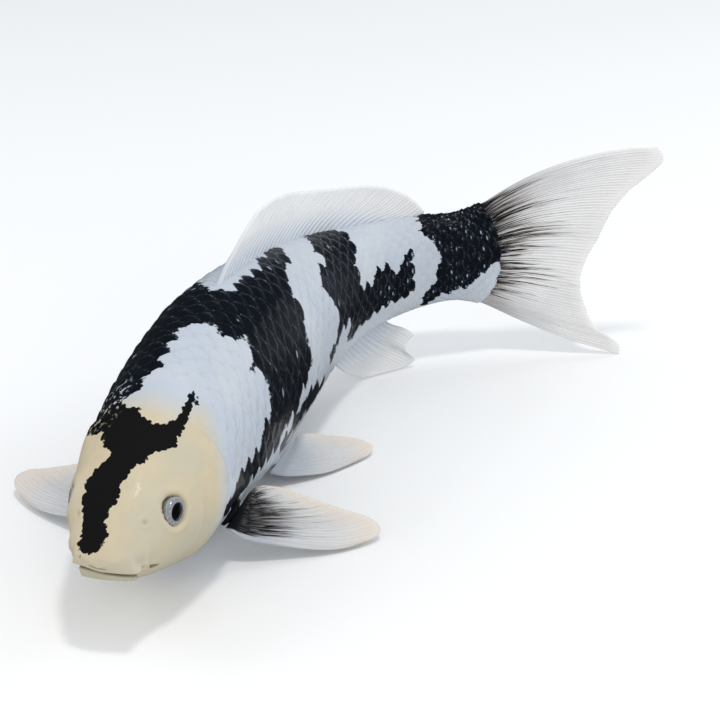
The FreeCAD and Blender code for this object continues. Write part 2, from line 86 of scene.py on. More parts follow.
def bell(x, width):
    return np.exp(-((x / width) ** 2))


def read_table(table, at):
    """Value between the entries of a list of (place, value) pairs."""
    return np.interp(at, *zip(*table))


def heading(along):
    """Turn of the backbone away from +Y in radians."""
    share = along / BODY_LENGTH
    turns = [turn * smooth_step((share - start) / length) for turn, start, length in BENDS]
    return np.radians(sum(turns))


def make_backbone():
    """Plan of the backbone as a table of distance, x and y, with the origin at REST_ALONG."""
    along = np.linspace(-20, 340, 3601)
    turn = heading(along)
    step = along[1] - along[0]
    plan = []
    for direction in (np.sin(turn), np.cos(turn)):
        middle = (direction[1:] + direction[:-1]) / 2
        run = np.concatenate([[0], np.cumsum(middle) * step])
        plan.append(run - np.interp(REST_ALONG, along, run))
    return along, plan[0], plan[1]


BACKBONE = make_backbone()


def place(along, side, rise):
    """Points from distance along the backbone, offset to the fish's left and height above it."""
    along, side, rise = np.broadcast_arrays(along, side, rise)
    table, x, y = BACKBONE
    turn = heading(along)
    height = BACKBONE_HEIGHT + BACKBONE_RISE * np.minimum(along / BODY_LENGTH, RISE_END)
    return np.stack([
        np.interp(along, table, x) + np.cos(turn) * side,
        np.interp(along, table, y) - np.sin(turn) * side,
        height + rise,
    ], -1)


def spline(knots, values, at):
    """Natural cubic spline through the values at the knots, read at other places."""
    knots = np.asarray(knots, float)
    values = np.asarray(values, float)
    flat = values.reshape(len(knots), -1)
    gap = np.diff(knots)
    slope = np.diff(flat, axis=0) / gap[:, None]
    system = np.eye(len(knots))
    right = np.zeros_like(flat)
    for i in range(1, len(knots) - 1):
        system[i, i - 1:i + 2] = gap[i - 1], 2 * (gap[i - 1] + gap[i]), gap[i]
        right[i] = 6 * (slope[i] - slope[i - 1])
    bend = np.linalg.solve(system, right)
    at = np.asarray(at, float)
    i = np.clip(np.searchsorted(knots, at) - 1, 0, len(knots) - 2)
    h = gap[i][..., None]
    t = (at - knots[i])[..., None]
    out = (
        flat[i]
        + t * (slope[i] - h * (2 * bend[i] + bend[i + 1]) / 6)
        + t ** 2 * bend[i] / 2
        + t ** 3 * (bend[i + 1] - bend[i]) / (6 * h)
    )
    return out.reshape(at.shape + values.shape[1:])


def curve_through(points, count):
    """Smooth curve through a few points, as count points evenly spaced by chord length."""
    points = np.asarray(points, float)
    chord = np.concatenate([[0], np.cumsum(np.linalg.norm(np.diff(points, axis=0), axis=1))])
    return spline(chord, points, np.linspace(0, chord[-1], count))


def body_section(along):
    """Half width, back and belly of the body."""
    return np.moveaxis(spline(BODY_STATIONS[:, 0], BODY_STATIONS[:, 1:], along), -1, 0)


# ---------- meshes and pieces

def add_piece(name, points, faces, material, body, node, values=None, baked=None):
    """Mesh piece from millimetre points, riding on its body in place of its CAD node."""
    mesh = bpy.data.meshes.new(name)
    mesh.from_pydata((np.asarray(points) * MM).tolist(), [], faces)
    mesh.validate()
    face_outward(mesh)
    mesh.shade_smooth()
    for key, numbers in (values or {}).items():
        attribute = mesh.attributes.new(key, "FLOAT", "POINT")
        attribute.data.foreach_set("value", np.asarray(numbers, np.float32).ravel())
    if baked is not None:
        layer = mesh.uv_layers.new(name="OFBake")
        layer.data.foreach_set("uv", np.asarray(baked, np.float32).ravel())
    piece = bpy.data.objects.new(name, mesh)
    bpy.context.scene.collection.objects.link(piece)
    mesh.materials.append(material)
    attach(piece, body)
    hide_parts(node)


def face_outward(mesh):
    """Turn every face of a closed mesh outward."""
    shape = bmesh.new()
    shape.from_mesh(mesh)
    bmesh.ops.recalc_face_normals(shape, faces=shape.faces)
    shape.to_mesh(mesh)
    shape.free()
    mesh.update()


def tube_faces(rows, cols, strip_ends):
    """Faces and UVs of a grid of rings that closes on itself, with both ends closed."""
    faces = []
    baked = []
    for i in range(rows - 1):
        for j in range(cols):
            k = (j + 1) % cols
            faces.append((i * cols + j, i * cols + k, (i + 1) * cols + k, (i + 1) * cols + j))
            low, high = i / (rows - 1), (i + 1) / (rows - 1)
            near, far = j / cols, (j + 1) / cols
            baked += [(near, low), (far, low), (far, high), (near, high)]
    for row, level in ((0, 0.0), (rows - 1, 1.0)):
        start = row * cols
        if strip_ends:
            for j in range(cols // 2 - 1):
                quad = (start + j, start + cols - 1 - j, start + cols - 2 - j, start + j + 1)
                faces.append(quad if row == 0 else quad[::-1])
                baked += [(j / cols, level)] * 4
        else:
            ring = tuple(range(start, start + cols))
            faces.append(ring[::-1] if row == 0 else ring)
            baked += [(j / cols, level) for j in range(cols)]
    return faces, baked


def circle_round(axis, count):
    """Directions square to the axis, evenly round it."""
    side = np.cross(axis, (0, 0, 1))
    side /= np.linalg.norm(side)
    turn = np.linspace(0, 2 * math.pi, count, endpoint=False)[:, None]
    return np.cos(turn) * side + np.sin(turn) * np.cross(axis, side)


def lathe(profile, origin, axis, count=48):
    """Points and faces of a turned shape; the profile is (height, radius), ends on the axis."""
    circle = circle_round(axis, count)
    rings = [origin + axis * height + circle * radius for height, radius in profile]
    return np.concatenate(rings), tube_faces(len(profile), count, False)[0]


def ripple(x, seed):
    """Smooth deterministic wobble between 0 and 1."""
    waves = [(1.0, 0.0), (2.3, 1.7), (4.1, 4.4), (7.7, 2.9)]
    total = sum(np.sin(x * f + p + seed * (1.3 + p)) / (1 + 0.5 * f ** 0.5) for f, p in waves)
    reach = sum(1 / (1 + 0.5 * f ** 0.5) for f, _ in waves)
    return 0.5 + 0.5 * total / reach


def hash_of(a, b):
    """Number from 0 to 1 that differs from scale to scale."""
    x = np.sin(a * 12.9898 + b * 78.233) * 43758.5453
    return x - np.floor(x)


# ---------- paint patches

# Outlines as (distance along the backbone, distance round the skin from the middle of the back),
# positive to the fish's left
HEAD_STRIPE = [
    (-0.8, -1.4), (-1.1, -3.8), (0, -6.8), (2, -7.1), (6, -7.9), (12, -9.6), (17.5, -10.2),
    (20.5, -8.5), (25, -5.2), (28.5, -9.5), (33, -12), (38, -12.5), (42, -12.5), (41.5, -7.5),
    (40, -1.6), (38, 0), (35.7, 3.8), (37.5, 7), (42.5, 10), (46.5, 10.6), (49, 9), (52, 11.5),
    (51, 14.5), (47, 13), (42, 13.5), (35.5, 12), (31.7, 12.5), (27.2, 6.8), (23.6, 5.8),
    (20.2, 2.6), (16, 1.3), (11.8, 1.5), (7.7, -0.4), (5.5, -0.3), (3.6, 1.2), (1.8, 0.9),
]
BACK_PATCH = [
    (33, -10), (38, -8), (42, -6), (43.5, -9), (46, -8), (48, -4.5), (52, -2.5), (56, -3),
    (60, -1.5), (66, -0.5), (72, -1), (78, 1), (82, 2),
    (80, 6), (80, 12), (84, 15), (88, 17), (88, 22), (84, 23), (80, 25), (86, 30), (86.5, 39),
    (83, 43), (77, 45.5), (71, 47), (64, 45), (58, 44.5), (54, 47), (48, 48), (44, 46.5),
    (47, 53), (56, 56), (70, 58), (84, 61), (94, 60), (104, 57), (115, 55), (119, 49),
    (122, 46), (130, 44.5), (127, 40), (126, 32), (128, 25), (126, 20), (130, 17), (132, 12),
    (138, 11), (141, 8), (146, 1), (140, 0), (136, 3), (126, 4.5), (118, 6), (112, 4), (104, 5),
    (100, 0), (106, -6), (112, -15), (108, -24), (98, -27), (90, -34), (80, -31), (72, -35),
    (62, -28), (54, -31), (46, -28), (40, -22), (36, -17),
]
BELLY_STREAKS = [
    (147, 57), (139, 53), (131, 54), (122, 56.5), (112, 59.5), (103, 63), (98, 68), (106, 69),
    (116, 66), (126, 63.5), (137, 61.5), (147, 59.5),
]
FLANK_PATCH = [
    (163, 0.5), (172, -2), (182, 0), (186, 2), (187, 8), (184, 15), (182, 19), (184, 23),
    (190, 26), (194, 24), (196, 18), (200, 18.5), (205, 21), (210, 21), (211, 16), (214, 13),
    (216, 16), (214, 20), (216.5, 24), (216, 29), (210, 32), (200, 35), (190, 38.5), (181, 42),
    (174, 44), (172, 42), (175, 36.5), (169, 36.5), (162, 39.5), (156, 44.5), (151, 50.5),
    (145, 49), (152, 43.5), (158, 37), (160, 31), (155, 27), (152, 23), (155, 18), (160, 13),
    (162, 8),
]
PEDUNCLE_PATCH = [
    (219, 2), (221, 8), (225, 11), (227, 17), (226, 22), (224, 28), (220, 33), (218.5, 36.5),
    (223, 37), (228, 32), (234, 30.5), (240, 29), (250, 26.5), (262, 25), (262, -26), (240, -27),
    (232, -22), (224, -24), (221, -12), (218, -5),
]
RIGHT_FLANK_PATCH = [
    (150, -8), (160, -5), (168, -12), (176, -11), (181, -19), (177, -28), (168, -33), (160, -40),
    (150, -43), (141, -50), (132, -47), (137, -38), (143, -31), (140, -22), (146, -15),
]
RIGHT_LOW_PATCH = [
    (58, -46), (68, -41), (80, -45), (92, -43), (104, -49), (110, -57), (100, -62), (86, -58),
    (74, -60), (62, -56), (52, -55), (48, -50),
]
PATCHES = [
    HEAD_STRIPE, BACK_PATCH, BELLY_STREAKS, FLANK_PATCH, PEDUNCLE_PATCH, RIGHT_FLANK_PATCH,
    RIGHT_LOW_PATCH,
]


def inside_distance(x, y, outline):
    """Distance to the outline, positive inside it."""
    corners = np.asarray(outline, float)
    nearest = np.full(x.shape, FAR_AWAY)
    inside = np.zeros(x.shape, bool)
    for (ax, ay), (bx, by) in zip(corners, np.roll(corners, -1, axis=0)):
        ex, ey = bx - ax, by - ay
        t = np.clip(((x - ax) * ex + (y - ay) * ey) / (ex * ex + ey * ey), 0, 1)
        nearest = np.minimum(nearest, np.hypot(x - ax - t * ex, y - ay - t * ey))
        if ay != by:
            crosses = (ay > y) != (by > y)
            inside ^= crosses & (x < ax + (y - ay) * ex / ey)
    return np.where(inside, nearest, -nearest)


# ---------- skin

NOSE_SHARES = np.array([0.02, 0.16, 0.3, 0.43, 0.55, 0.66, 0.76, 0.85, 0.93])[:, None]
NOSE_BULGE = 0.6  # how far the tip of the nose stands forward of its first ring
SKIN_COLUMNS = 200
SKIN_END = 252.0
TAIL_ROOT = 236.0
SKIN_OVERLAP = 0.25  # the skin lies this far outside the root of the tail
SKIN_DIP = 0.9  # and its last ring dips this far into it
FLOOR_GAP = 0.02

ROWS_OF_SCALES = 40
SCALES_START = 46.0
SCALE_RELIEF = 0.85
SCALE_ROUNDING = 0.85  # how far the middle of a scale reaches past its sides, in courses
# tables by distance along the backbone: visible length of a scale, how strongly it is domed
# across, its share of the full relief, and the share of scales that carry a painted glint on the
# black
SCALE_SPACING = [(40, 3.0), (90, 3.35), (150, 3.35), (200, 2.7), (240, 2.2), (260, 2.2)]
SCALE_DOMING = [(150, 0.4), (225, 0.9)]
SCALE_HEIGHT = [(44, 0.75), (80, 1.0), (180, 0.85), (240, 0.8)]
PAINTED_GLINT_SCALES = [(190, 0.06), (215, 0.7)]

# distance round the skin from the middle of the back, where the cream head ends on the backbone
CREAM_EDGE = [(0, 43), (9, 43), (13, 46), (16, 49), (25, 46), (35, 42), (70, 41)]
CREAM_FADE = 15.0
HEAD_PAINT_END = 50.0
EDGE_STEP = 0.7  # how far an edge of the black paint steps with whole scales
EDGE_STEPS_START = 44.0
EDGE_WANDER = 2.2  # how unevenly the scales along that edge are painted


def skin_rings():
    """Distances of the rings of skin points, closer together where the detail is finer."""
    spans = [(-1.92, 1.6, 0.2), (1.6, 12.0, 0.5), (12.0, 26.0, 0.55), (26.0, 44.0, 1.0)]
    rings = [np.arange(start, end, step) for start, end, step in spans]
    return np.concatenate(rings + [np.arange(44.0, SKIN_END + 0.1, 0.515)])


def course_table():
    """Table that counts courses of scales along the backbone."""
    along = np.linspace(30, 262, 2321)
    spacing = read_table(SCALE_SPACING, along)
    step = along[1] - along[0]
    return along, np.concatenate([[0], np.cumsum(step / spacing[:-1])])


def scale_pattern(along, angle):
    """For each point: distance ahead of its scale's rear edge, offset from the scale's middle,
    and the scale's own course and row. The frontmost scale that reaches a point is on top."""
    table, count = course_table()
    course = np.interp(along, table, count)
    row = angle / (2 * math.pi) * ROWS_OF_SCALES
    best = None
    for candidate in (np.floor(row), np.floor(row) + 1):
        offset = row - candidate
        edge = SCALE_ROUNDING * (1 - offset ** 2) ** 0.6
        number = np.ceil((course - edge - candidate) / 2) * 2 + candidate
        scale = np.stack([number + edge - course, offset, number, candidate])
        best = scale if best is None else np.where(number < best[2], scale, best)
    return best


def arc_table():
    """Distance round the skin from the back to each angle, at stations along the backbone."""
    along = np.linspace(-1.9, 258, 131)
    angle = np.linspace(0, math.pi, 181)
    half, back, belly = (value[:, None] for value in body_section(along))
    side = half * np.sin(angle)
    rise = np.where(np.cos(angle) > 0, back, belly) * np.cos(angle)
    steps = np.hypot(np.diff(side, axis=1), np.diff(rise, axis=1))
    return along, angle, np.concatenate([np.zeros((len(along), 1)), np.cumsum(steps, axis=1)], 1)


def arc_length(along, angle, table):
    """Read arc_table() between its entries; the sign of the angle is kept."""
    stations, angles, lengths = table
    a = np.clip((along - stations[0]) / (stations[1] - stations[0]), 0, len(stations) - 1.001)
    b = np.clip(np.abs(angle) / (angles[1] - angles[0]), 0, len(angles) - 1.001)
    i, j = a.astype(int), b.astype(int)
    a, b = a - i, b - j
    low = lengths[i, j] * (1 - b) + lengths[i, j + 1] * b
    high = lengths[i + 1, j] * (1 - b) + lengths[i + 1, j + 1] * b
    return np.sign(angle) * (low * (1 - a) + high * a)


def skin_grid():
    """Places on the smooth skin: rings from the tip of the nose to the root of the tail."""
    rings = skin_rings()
    angle = np.linspace(-math.pi, math.pi, SKIN_COLUMNS, endpoint=False)
    along, angle = np.meshgrid(rings, angle, indexing="ij")
    pulled = 0.5 * np.cos(angle) ** 2 * np.maximum(along - TAIL_ROOT, 0)
    station = along - pulled
    half, back, belly = body_section(station)
    dip = SKIN_DIP * smooth_step((along - SKIN_END) / SKIN_DIP + 1)
    lift = SKIN_OVERLAP * smooth_step((along - TAIL_ROOT) / 6) - dip
    side = (half + lift) * np.sin(angle)
    rise = (np.where(np.cos(angle) > 0, back, belly) + lift) * np.cos(angle)
    table = arc_table()
    arc = arc_length(station, angle, table)

    middle = (rise[0].max() + rise[0].min()) / 2
    side = np.concatenate([side[:1] * NOSE_SHARES, side])
    rise = np.concatenate([middle + (rise[:1] - middle) * NOSE_SHARES, rise])
    nose = station[:1] - NOSE_BULGE * (1 - NOSE_SHARES ** 2)
    station = np.concatenate([nose, station])
    along, angle, arc = (
        np.concatenate([np.repeat(grid[:1], len(NOSE_SHARES), 0), grid])
        for grid in (along, angle, arc)
    )
    return SimpleNamespace(
        along=along, angle=angle, arc=arc, station=station, side=side, rise=rise, table=table,
        points=place(station, side, rise),
    )


def skin_normals(skin):
    """Directions straight out of the smooth skin."""
    across = np.roll(skin.points, -1, 1) - np.roll(skin.points, 1, 1)
    forward = np.gradient(skin.points, axis=0)
    normal = np.cross(across, forward)
    normal /= np.linalg.norm(normal, axis=-1)[..., None] + TINY
    outward = skin.points - place(skin.station, 0, 0)
    return normal * np.sign((normal * outward).sum(-1))[..., None]


# ---------- head

EYE = {"along": 18.5, "side": 16.0, "rise": 6.2, "yaw": -15.0, "lift": 6.0}
SOCKET_DEPTH = 2.6
# for the left (1) and right (-1) side of the head: how far the eye stands out, the radius of its
# socket, and the place, height and width of the brow that swells beside it
HEAD_SIDES = {
    1: {"eye_out": -0.4, "socket": 4.4, "brow": (15.5, 16.0, 6.2), "swell": 1.1, "width": 8.0},
    -1: {"eye_out": -0.8, "socket": 4.2, "brow": (16.0, -14.5, 10.4), "swell": 2.5, "width": 7.0},
}
NOSTRIL = (9.5, 9.7, 6.9)  # along, side and rise
MOUTH_CORNER = (4.4, 10.0, -4.2)
BARBEL = {"along": 9.8, "side": 11.7, "drop": 7.2, "yaw": 48.0, "lift": -14.0}
GILL_MIDDLE = 34.0  # distance round the skin of the rearmost point of the gill cover
GILL_EDGE = 46.5  # where that point is along the backbone
GILL_FOLD = 32.0  # and where the fold ahead of it is

SNOUT_FRONT = -2.1
SNOUT_HALF_WIDTH = 7.6
LIP_PART = 6.0  # crease and groove end this far along the backbone
CREASE_RISE = -3.6  # crease of the mouth above the backbone
CREASE_TILT = 0.11  # the crease is lower on the left side of the mouth
MOUTH_MIDDLE = 0.4
LIP_MIDDLE = 1.2
LIP_HALF_WIDTH = 7.8
LIP_DEPTH = 2.7  # height of the lower lip under the crease
GROOVE_RISE = 1.5  # short groove above the crease


def aim(along, sign, yaw, lift):
    """Direction out of one side of the fish, yawed towards the tail and lifted."""
    turn = float(heading(along))
    left = np.array([math.cos(turn), -math.sin(turn), 0.0])
    tailward = np.array([math.sin(turn), math.cos(turn), 0.0])
    yaw, lift = math.radians(yaw), math.radians(lift)
    level = left * (sign * math.cos(yaw)) + tailward * math.sin(yaw)
    return level * math.cos(lift) + np.array([0, 0, 1.0]) * math.sin(lift)


def from_point(points, centre):
    """Distance of each point from one place."""
    return np.linalg.norm(points - centre, axis=-1)


def from_axis(points, origin, axis):
    """Distance of each point from a line."""
    offset = points - origin
    return np.linalg.norm(offset - (offset @ axis)[..., None] * axis, axis=-1)


def gill_relief(along, arc):
    """Raised gill cover with a step at its rear edge and a faint fold ahead of it."""
    reach = np.abs(arc)
    on_cover = smooth_step((reach - 14) / 8) * smooth_step((70 - reach) / 10)
    rear_edge = GILL_EDGE - 0.012 * (reach - GILL_MIDDLE) ** 2
    ahead = rear_edge + 1.5 * smooth_step((reach - 40) / 14) - along
    plate = smooth_step(ahead) * smooth_step((16 - ahead) / 14) - 0.5 * bell(ahead + 1.2, 1.3)
    from_fold = GILL_FOLD - 0.014 * (reach - GILL_MIDDLE) ** 2 - along
    fold = 0.25 * bell(from_fold - 1.8, 1.2) - 0.35 * bell(from_fold, 0.8)
    return (plate + fold * smooth_step((reach - 20) / 6)) * on_cover


def eye_relief(points, sign):
    """Brow, rim and socket of one eye."""
    form = HEAD_SIDES[sign]
    origin = place(EYE["along"], sign * EYE["side"], EYE["rise"])
    distance = from_axis(points, origin, aim(EYE["along"], sign, EYE["yaw"], EYE["lift"]))
    brow = form["swell"] * bell(from_point(points, place(*form["brow"])), form["width"])
    rim = 0.3 * bell(distance - 5.8, 0.9) - 0.35 * bell(distance - 4.6, 0.4)
    socket = SOCKET_DEPTH * smooth_step((form["socket"] - distance) / 0.5)
    return brow + rim - socket


def nostril_relief(points, sign):
    """Pit with a low rim."""
    along, side, rise = NOSTRIL
    distance = from_point(points, place(along, sign * side, rise))
    return 0.2 * bell(distance - 1.3, 0.5) - 0.9 * bell(distance, 0.6)


def cheek_relief(points, sign):
    """Fold from the corner of the mouth to the barbel."""
    root = place(BARBEL["along"], sign * BARBEL["side"], -BARBEL["drop"])
    along, side, rise = MOUTH_CORNER
    corner = place(along, sign * side, rise)
    way = root - corner
    share = np.clip((points - corner) @ way / (way @ way), 0, 1)
    distance = from_point(points, corner + share[..., None] * way)
    return 0.3 * bell(distance - 1.2, 0.6) - 0.5 * bell(distance, 0.45)


def head_relief(skin):
    """Height of the gill covers, brows, eye sockets, nostrils and cheek folds above the skin."""
    relief = gill_relief(skin.along, skin.arc)
    for sign in (1, -1):
        forms = [form(skin.points, sign) for form in (eye_relief, nostril_relief, cheek_relief)]
        relief = relief + sum(forms) * (skin.side * sign > 0)
    return relief


def lip_push(side, rise, along):
    """How far snout and lips stand forward of the body form, the share of painted shade in the mouth
    crease, and the share of lip.
    """
    across = side - MOUTH_MIDDLE
    from_lip = np.abs(side - LIP_MIDDLE)
    front = SNOUT_FRONT + 0.012 * across ** 2
    front = front + 5.0 * smooth_step((np.abs(across) - SNOUT_HALF_WIDTH) / 2.4)
    forward = np.clip(along - front, 0, 5) * smooth_step((7.5 - along) / 3)
    below = CREASE_RISE - CREASE_TILT * (side - LIP_MIDDLE) - 0.003 * across ** 2 - rise
    above_foot = rise - (CREASE_RISE - LIP_DEPTH)

    lower = smooth_step((below - 0.1) / 0.35) * smooth_step((above_foot + 0.3) / 0.8)
    narrowed = LIP_HALF_WIDTH - 0.45 * np.clip(below, 0, 3)
    lower = lower * smooth_step((narrowed - from_lip) / 0.9)
    upper = 0.85 * smooth_step((-below - 0.05) / 0.35) * smooth_step((7.0 + below) / 6.5)

    on_lips = along < LIP_PART
    groove = bell(below + GROOVE_RISE, 0.25) * smooth_step((3.2 - np.abs(side + 0.5)) / 1.2)
    crease = bell(below, 0.36) * smooth_step((LIP_HALF_WIDTH + 0.5 - from_lip) / 0.8)
    push = forward * np.maximum(lower, upper) - (0.5 * crease + 0.3 * groove) * on_lips
    # the crease share, with half the groove's, is painted shade along the mouth
    return push, (crease + 0.5 * groove) * on_lips, lower * (along < LIP_PART + 1)


# ---------- scales and paint of the skin

def black_distance(skin, scale):
    """Signed distance into the black paint, whose edges step from scale to scale."""
    course, row = scale[2:]
    lengths, counts = course_table()
    middle_along = np.interp(course, counts, lengths)
    middle_angle = row * (2 * math.pi / ROWS_OF_SCALES)
    wrapped = (middle_angle + math.pi) % (2 * math.pi) - math.pi
    middle_arc = arc_length(middle_along, wrapped, skin.table)
    scaled = smooth_step((skin.along - EDGE_STEPS_START) / 8)
    uneven = EDGE_WANDER * (hash_of(row, course) - 0.5)
    black = np.full(skin.along.shape, -FAR_AWAY)
    for outline in PATCHES:
        here = inside_distance(skin.along, skin.arc, outline)
        there = inside_distance(middle_along, middle_arc, outline)
        black = np.maximum(black, here + scaled * (EDGE_STEP * (there - here) + uneven))
    return black


def head_paint(along, arc):
    """Shares of cream and of matte black, and of the wear in the paint behind the right gill."""
    cream = smooth_step((read_table(CREAM_EDGE, np.abs(arc)) - along) / CREAM_FADE + 0.5)
    stripe = inside_distance(along, arc, HEAD_STRIPE)
    matte = smooth_step(stripe / 0.5 + 1.5) * smooth_step((HEAD_PAINT_END - along) / 4)
    wear_and_glints = bell(along - 47, 8) * smooth_step((-7 - arc) / 4) * smooth_step((arc + 24) / 4)
    return cream, matte, wear_and_glints


def scale_relief(skin, scale, black):
    """Height of the overlapping scales above the skin, higher where the black paint is thick."""
    ahead, offset, course, row = scale
    doming = read_table(SCALE_DOMING, skin.along)
    slope = np.clip(1 - ahead / 1.9, 0, 1) ** 0.8
    height = slope * (1 - doming * offset ** 2) * (0.8 + 0.4 * hash_of(course, row))
    thick_paint = 0.85 + 0.35 * smooth_step(black + 0.5)
    belly_fade = 1 - 0.6 * smooth_step((np.abs(skin.angle) - 2.5) / 0.5)
    share = belly_fade * read_table(SCALE_HEIGHT, skin.along)
    return SCALE_RELIEF * thick_paint * (height - 0.4) * skin.scaled * share


def plug_relief(points, plugs):
    """Recesses round the collars of the turning fins."""
    relief = 0
    for root, axis, radius in plugs:
        close = from_point(points, root) < 3 * radius
        recess = smooth_step((radius + 0.3 - from_axis(points, root, axis)) / 0.5)
        relief = relief - 1.4 * close * recess
    return relief


def make_skin(material, plugs):
    """Closed skin of the head, trunk and peduncle, which ends over the root of the tail. plugs
    holds the root, axis and collar radius of each turning fin."""
    skin = skin_grid()
    cover = SCALES_START + 3 * smooth_step((20 - np.abs(skin.arc)) / 12)
    skin.scaled = smooth_step((skin.along - cover) / 9)
    normal = skin_normals(skin)
    scale = scale_pattern(skin.along, skin.angle)
    black = black_distance(skin, scale)
    cream, matte, wear_and_glints = head_paint(skin.along, skin.arc)

    relief = scale_relief(skin, scale, black) + head_relief(skin)
    relief = relief + plug_relief(skin.points, plugs)
    push, crease, lip = lip_push(skin.side, skin.rise, skin.station)
    level = normal * np.array([1, 1, 0])
    level /= np.linalg.norm(level, axis=-1)[..., None] + 1e-6
    points = skin.points + normal * relief[..., None] + level * push[..., None]
    points[..., 2] = np.maximum(points[..., 2], FLOOR_GAP)

    ahead, offset, course, row = scale
    tint = hash_of(course, row)
    # scales that carry a painted glint on the black paint
    glossy = tint < read_table(PAINTED_GLINT_SCALES, skin.along)
    values = {
        "black": black, "cream": cream, "matte": matte, "shoulder": wear_and_glints, "crease": crease,
        "lip": lip, "tint": tint, "scaled": skin.scaled,
        # painted shade in the groove just behind the edge of the scale in front
        "groove": smooth_step((ahead - 1.1) / 0.9) * skin.scaled,
        # rear edge of each scale, which carries painted highlights and painted glints
        "rim": smooth_step((0.25 - ahead) / 0.25) * skin.scaled,
        # painted glint near the rear edge of those scales
        "glint": bell(ahead - 0.45, 0.10) * bell(offset - 0.1, 0.3) * glossy * skin.scaled,
    }
    faces, baked = tube_faces(len(points), SKIN_COLUMNS, False)
    add_piece(
        "painted_body", points.reshape(-1, 3), faces, material, "figure", "body_shell",
        values, baked,
    )


# ---------- fins

# front, edge and rear are the outline's curves in millimetres: along and above the backbone on the
# unpaired fins, along the span and across the chord on the paired ones. ridge is the height of the
# rays, scallop the depth of the notches between them at the edge, and thickness is half the
# sheet's thickness at the root and at the edge.
DORSAL = {
    "front": [(108, 39.0), (117, 42.5), (128, 46.8), (137, 49.0)],
    "edge": [
        (137, 49.0), (152, 47.8), (170, 43.0), (190, 38.0), (205, 34.4), (214, 30.4), (220, 25.8),
        (223.5, 21.0),
    ],
    "rear": [(213, 19.2), (218.5, 18.8), (223.5, 21.0)],
    "rays": 17, "ridge": 0.16, "scallop": 0.35, "thickness": (1.1, 0.45),
    "reach_points": 64, "across_points": 300,
}
ANAL = {
    "front": [(184, -29.5), (190, -34), (196, -36.2)],
    "edge": [
        (196, -36.2), (206, -36.9), (214, -36.6), (218, -34.6), (214.5, -30.5), (214.5, -27.5),
        (218, -24.5),
    ],
    "rear": [(210, -20.0), (214, -21.6), (218, -24.5)],
    "rays": 7, "ridge": 0.14, "scallop": 0.3, "thickness": (1.0, 0.45),
    "reach_points": 50, "across_points": 140,
}
ANAL_LEAN = 5.5  # how far the edge of the anal fin stands to the fish's left
TAIL = {
    "front": [
        (236, 19.3), (240, 19.9), (248, 24.2), (258, 30.2), (270, 35.8), (284, 40.3), (296, 42.4),
        (307, 43),
    ],
    "edge": [
        (307, 43), (309, 41), (298.5, 27), (287.5, 7.5), (281.8, -8), (284, -19), (290, -29),
        (298, -37.6), (297.5, -39.2),
    ],
    "rear": [
        (236, -14.6), (240, -15.2), (248, -18.4), (258, -23.8), (270, -29.4), (284, -34.8),
        (292, -37.2), (297.5, -39.2),
    ],
    "root": [(236, 19.3), (236, 10), (236, 0), (236, -8), (236, -14.6)],
    "rays": 18, "ridge": 0.13, "scallop": 0.5, "thickness": (1.0, 0.5),
    "reach_points": 96, "across_points": 380,
}
# oval core of the tail: distance along the backbone, half width, height above and depth below
TAIL_CORE_WIDTH = [(230, 7.2), (240, 6.8), (248, 4.2), (258, 2.4), (270, 1.5), (284, 1.0), (308, 0.6)]
TAIL_CORE_TOP = [(236, 18.8), (248, 24.0), (258, 30.5), (270, 36), (284, 40.5), (308, 43)]
TAIL_CORE_LOW = [(236, 14.1), (248, 17.9), (258, 24), (270, 29.5), (284, 35), (308, 40)]
TAIL_CORE_INSET = 0.75
# black brush strokes: place across the fin from front to rear, share of the fin they reach over
TAIL_STROKES = [
    (0, 0.46), (0.05, 0.54), (0.2, 0.70), (0.35, 0.98), (0.55, 1.02), (0.66, 0.95), (0.76, 0.82),
    (0.83, 0.55), (0.9, 0.02),
]
PECTORAL_STROKES = [(0, 0.02), (0.05, 0.12), (0.14, 0.74), (0.4, 0.9), (0.8, 0.95), (1, 1.0)]

PECTORAL = {
    "along": 60.0, "side": 18.6, "drop": 18.2, "sweep": 26.5, "droop": 14.5, "pitch": 40.0,
    "plug_lead": 28.0, "neck": 3.5, "camber": 1.0,
    "front": [(-1.5, -5.2), (3, -8), (10, -9), (23, -9.3), (36, -7.8), (44.5, -4.2)],
    "edge": [
        (44.5, -4.2), (47.6, -2), (48.4, 0.2), (46.3, 2.6), (39, 4.7), (26, 7.5), (14, 10),
        (10, 9.9),
    ],
    "rear": [(5.6, 7.2), (7.2, 8.9), (10, 9.9)],
    "root": [(-1.5, -5.2), (2.0, 1.0), (5.6, 7.2)],
    "rays": 9, "ridge": 0.14, "scallop": 0.35, "thickness": (0.75, 0.4),
    "reach_points": 90, "across_points": 170,
}
PELVIC = {
    "along": 110.0, "side": 15.4, "drop": 27.0, "sweep": 50.0, "droop": 9.0, "pitch": 30.0,
    "plug_lead": 50.0, "neck": 2.75, "camber": 0.7,
    "front": [(-3.5, -4.9), (1, -6.7), (8, -7.5), (15, -7.6), (24, -6.0), (33, -3.4)],
    "edge": [
        (33, -3.4), (37, -1.2), (38, 0.8), (36, 3.2), (31, 5.2), (24, 6.8), (17, 8.4), (14, 8.5),
    ],
    "rear": [(10.5, 6.8), (12, 8.1), (14, 8.5)],
    "root": [(-3.5, -4.9), (3.5, 1.0), (10.5, 6.8)],
    "rays": 8, "ridge": 0.13, "scallop": 0.3, "thickness": (0.75, 0.4),
    "reach_points": 76, "across_points": 150,
}
RIGHT_PECTORAL_TURN = 6.0  # the right pectoral fin rests this far above the left one's place
COLLAR_LIP = 1.3
DORSAL_ROOT = (101.5, 207)
ANAL_ROOT = (179.5, 206)
ROOT_SINK = 1.5  # how far the roots of these two lie under the skin
EDGE_ROUNDING = 0.03  # share of the sheet over which its edges thin out
THINNEST = 0.05
NO_PLUG = (np.empty((0, 3)), [])


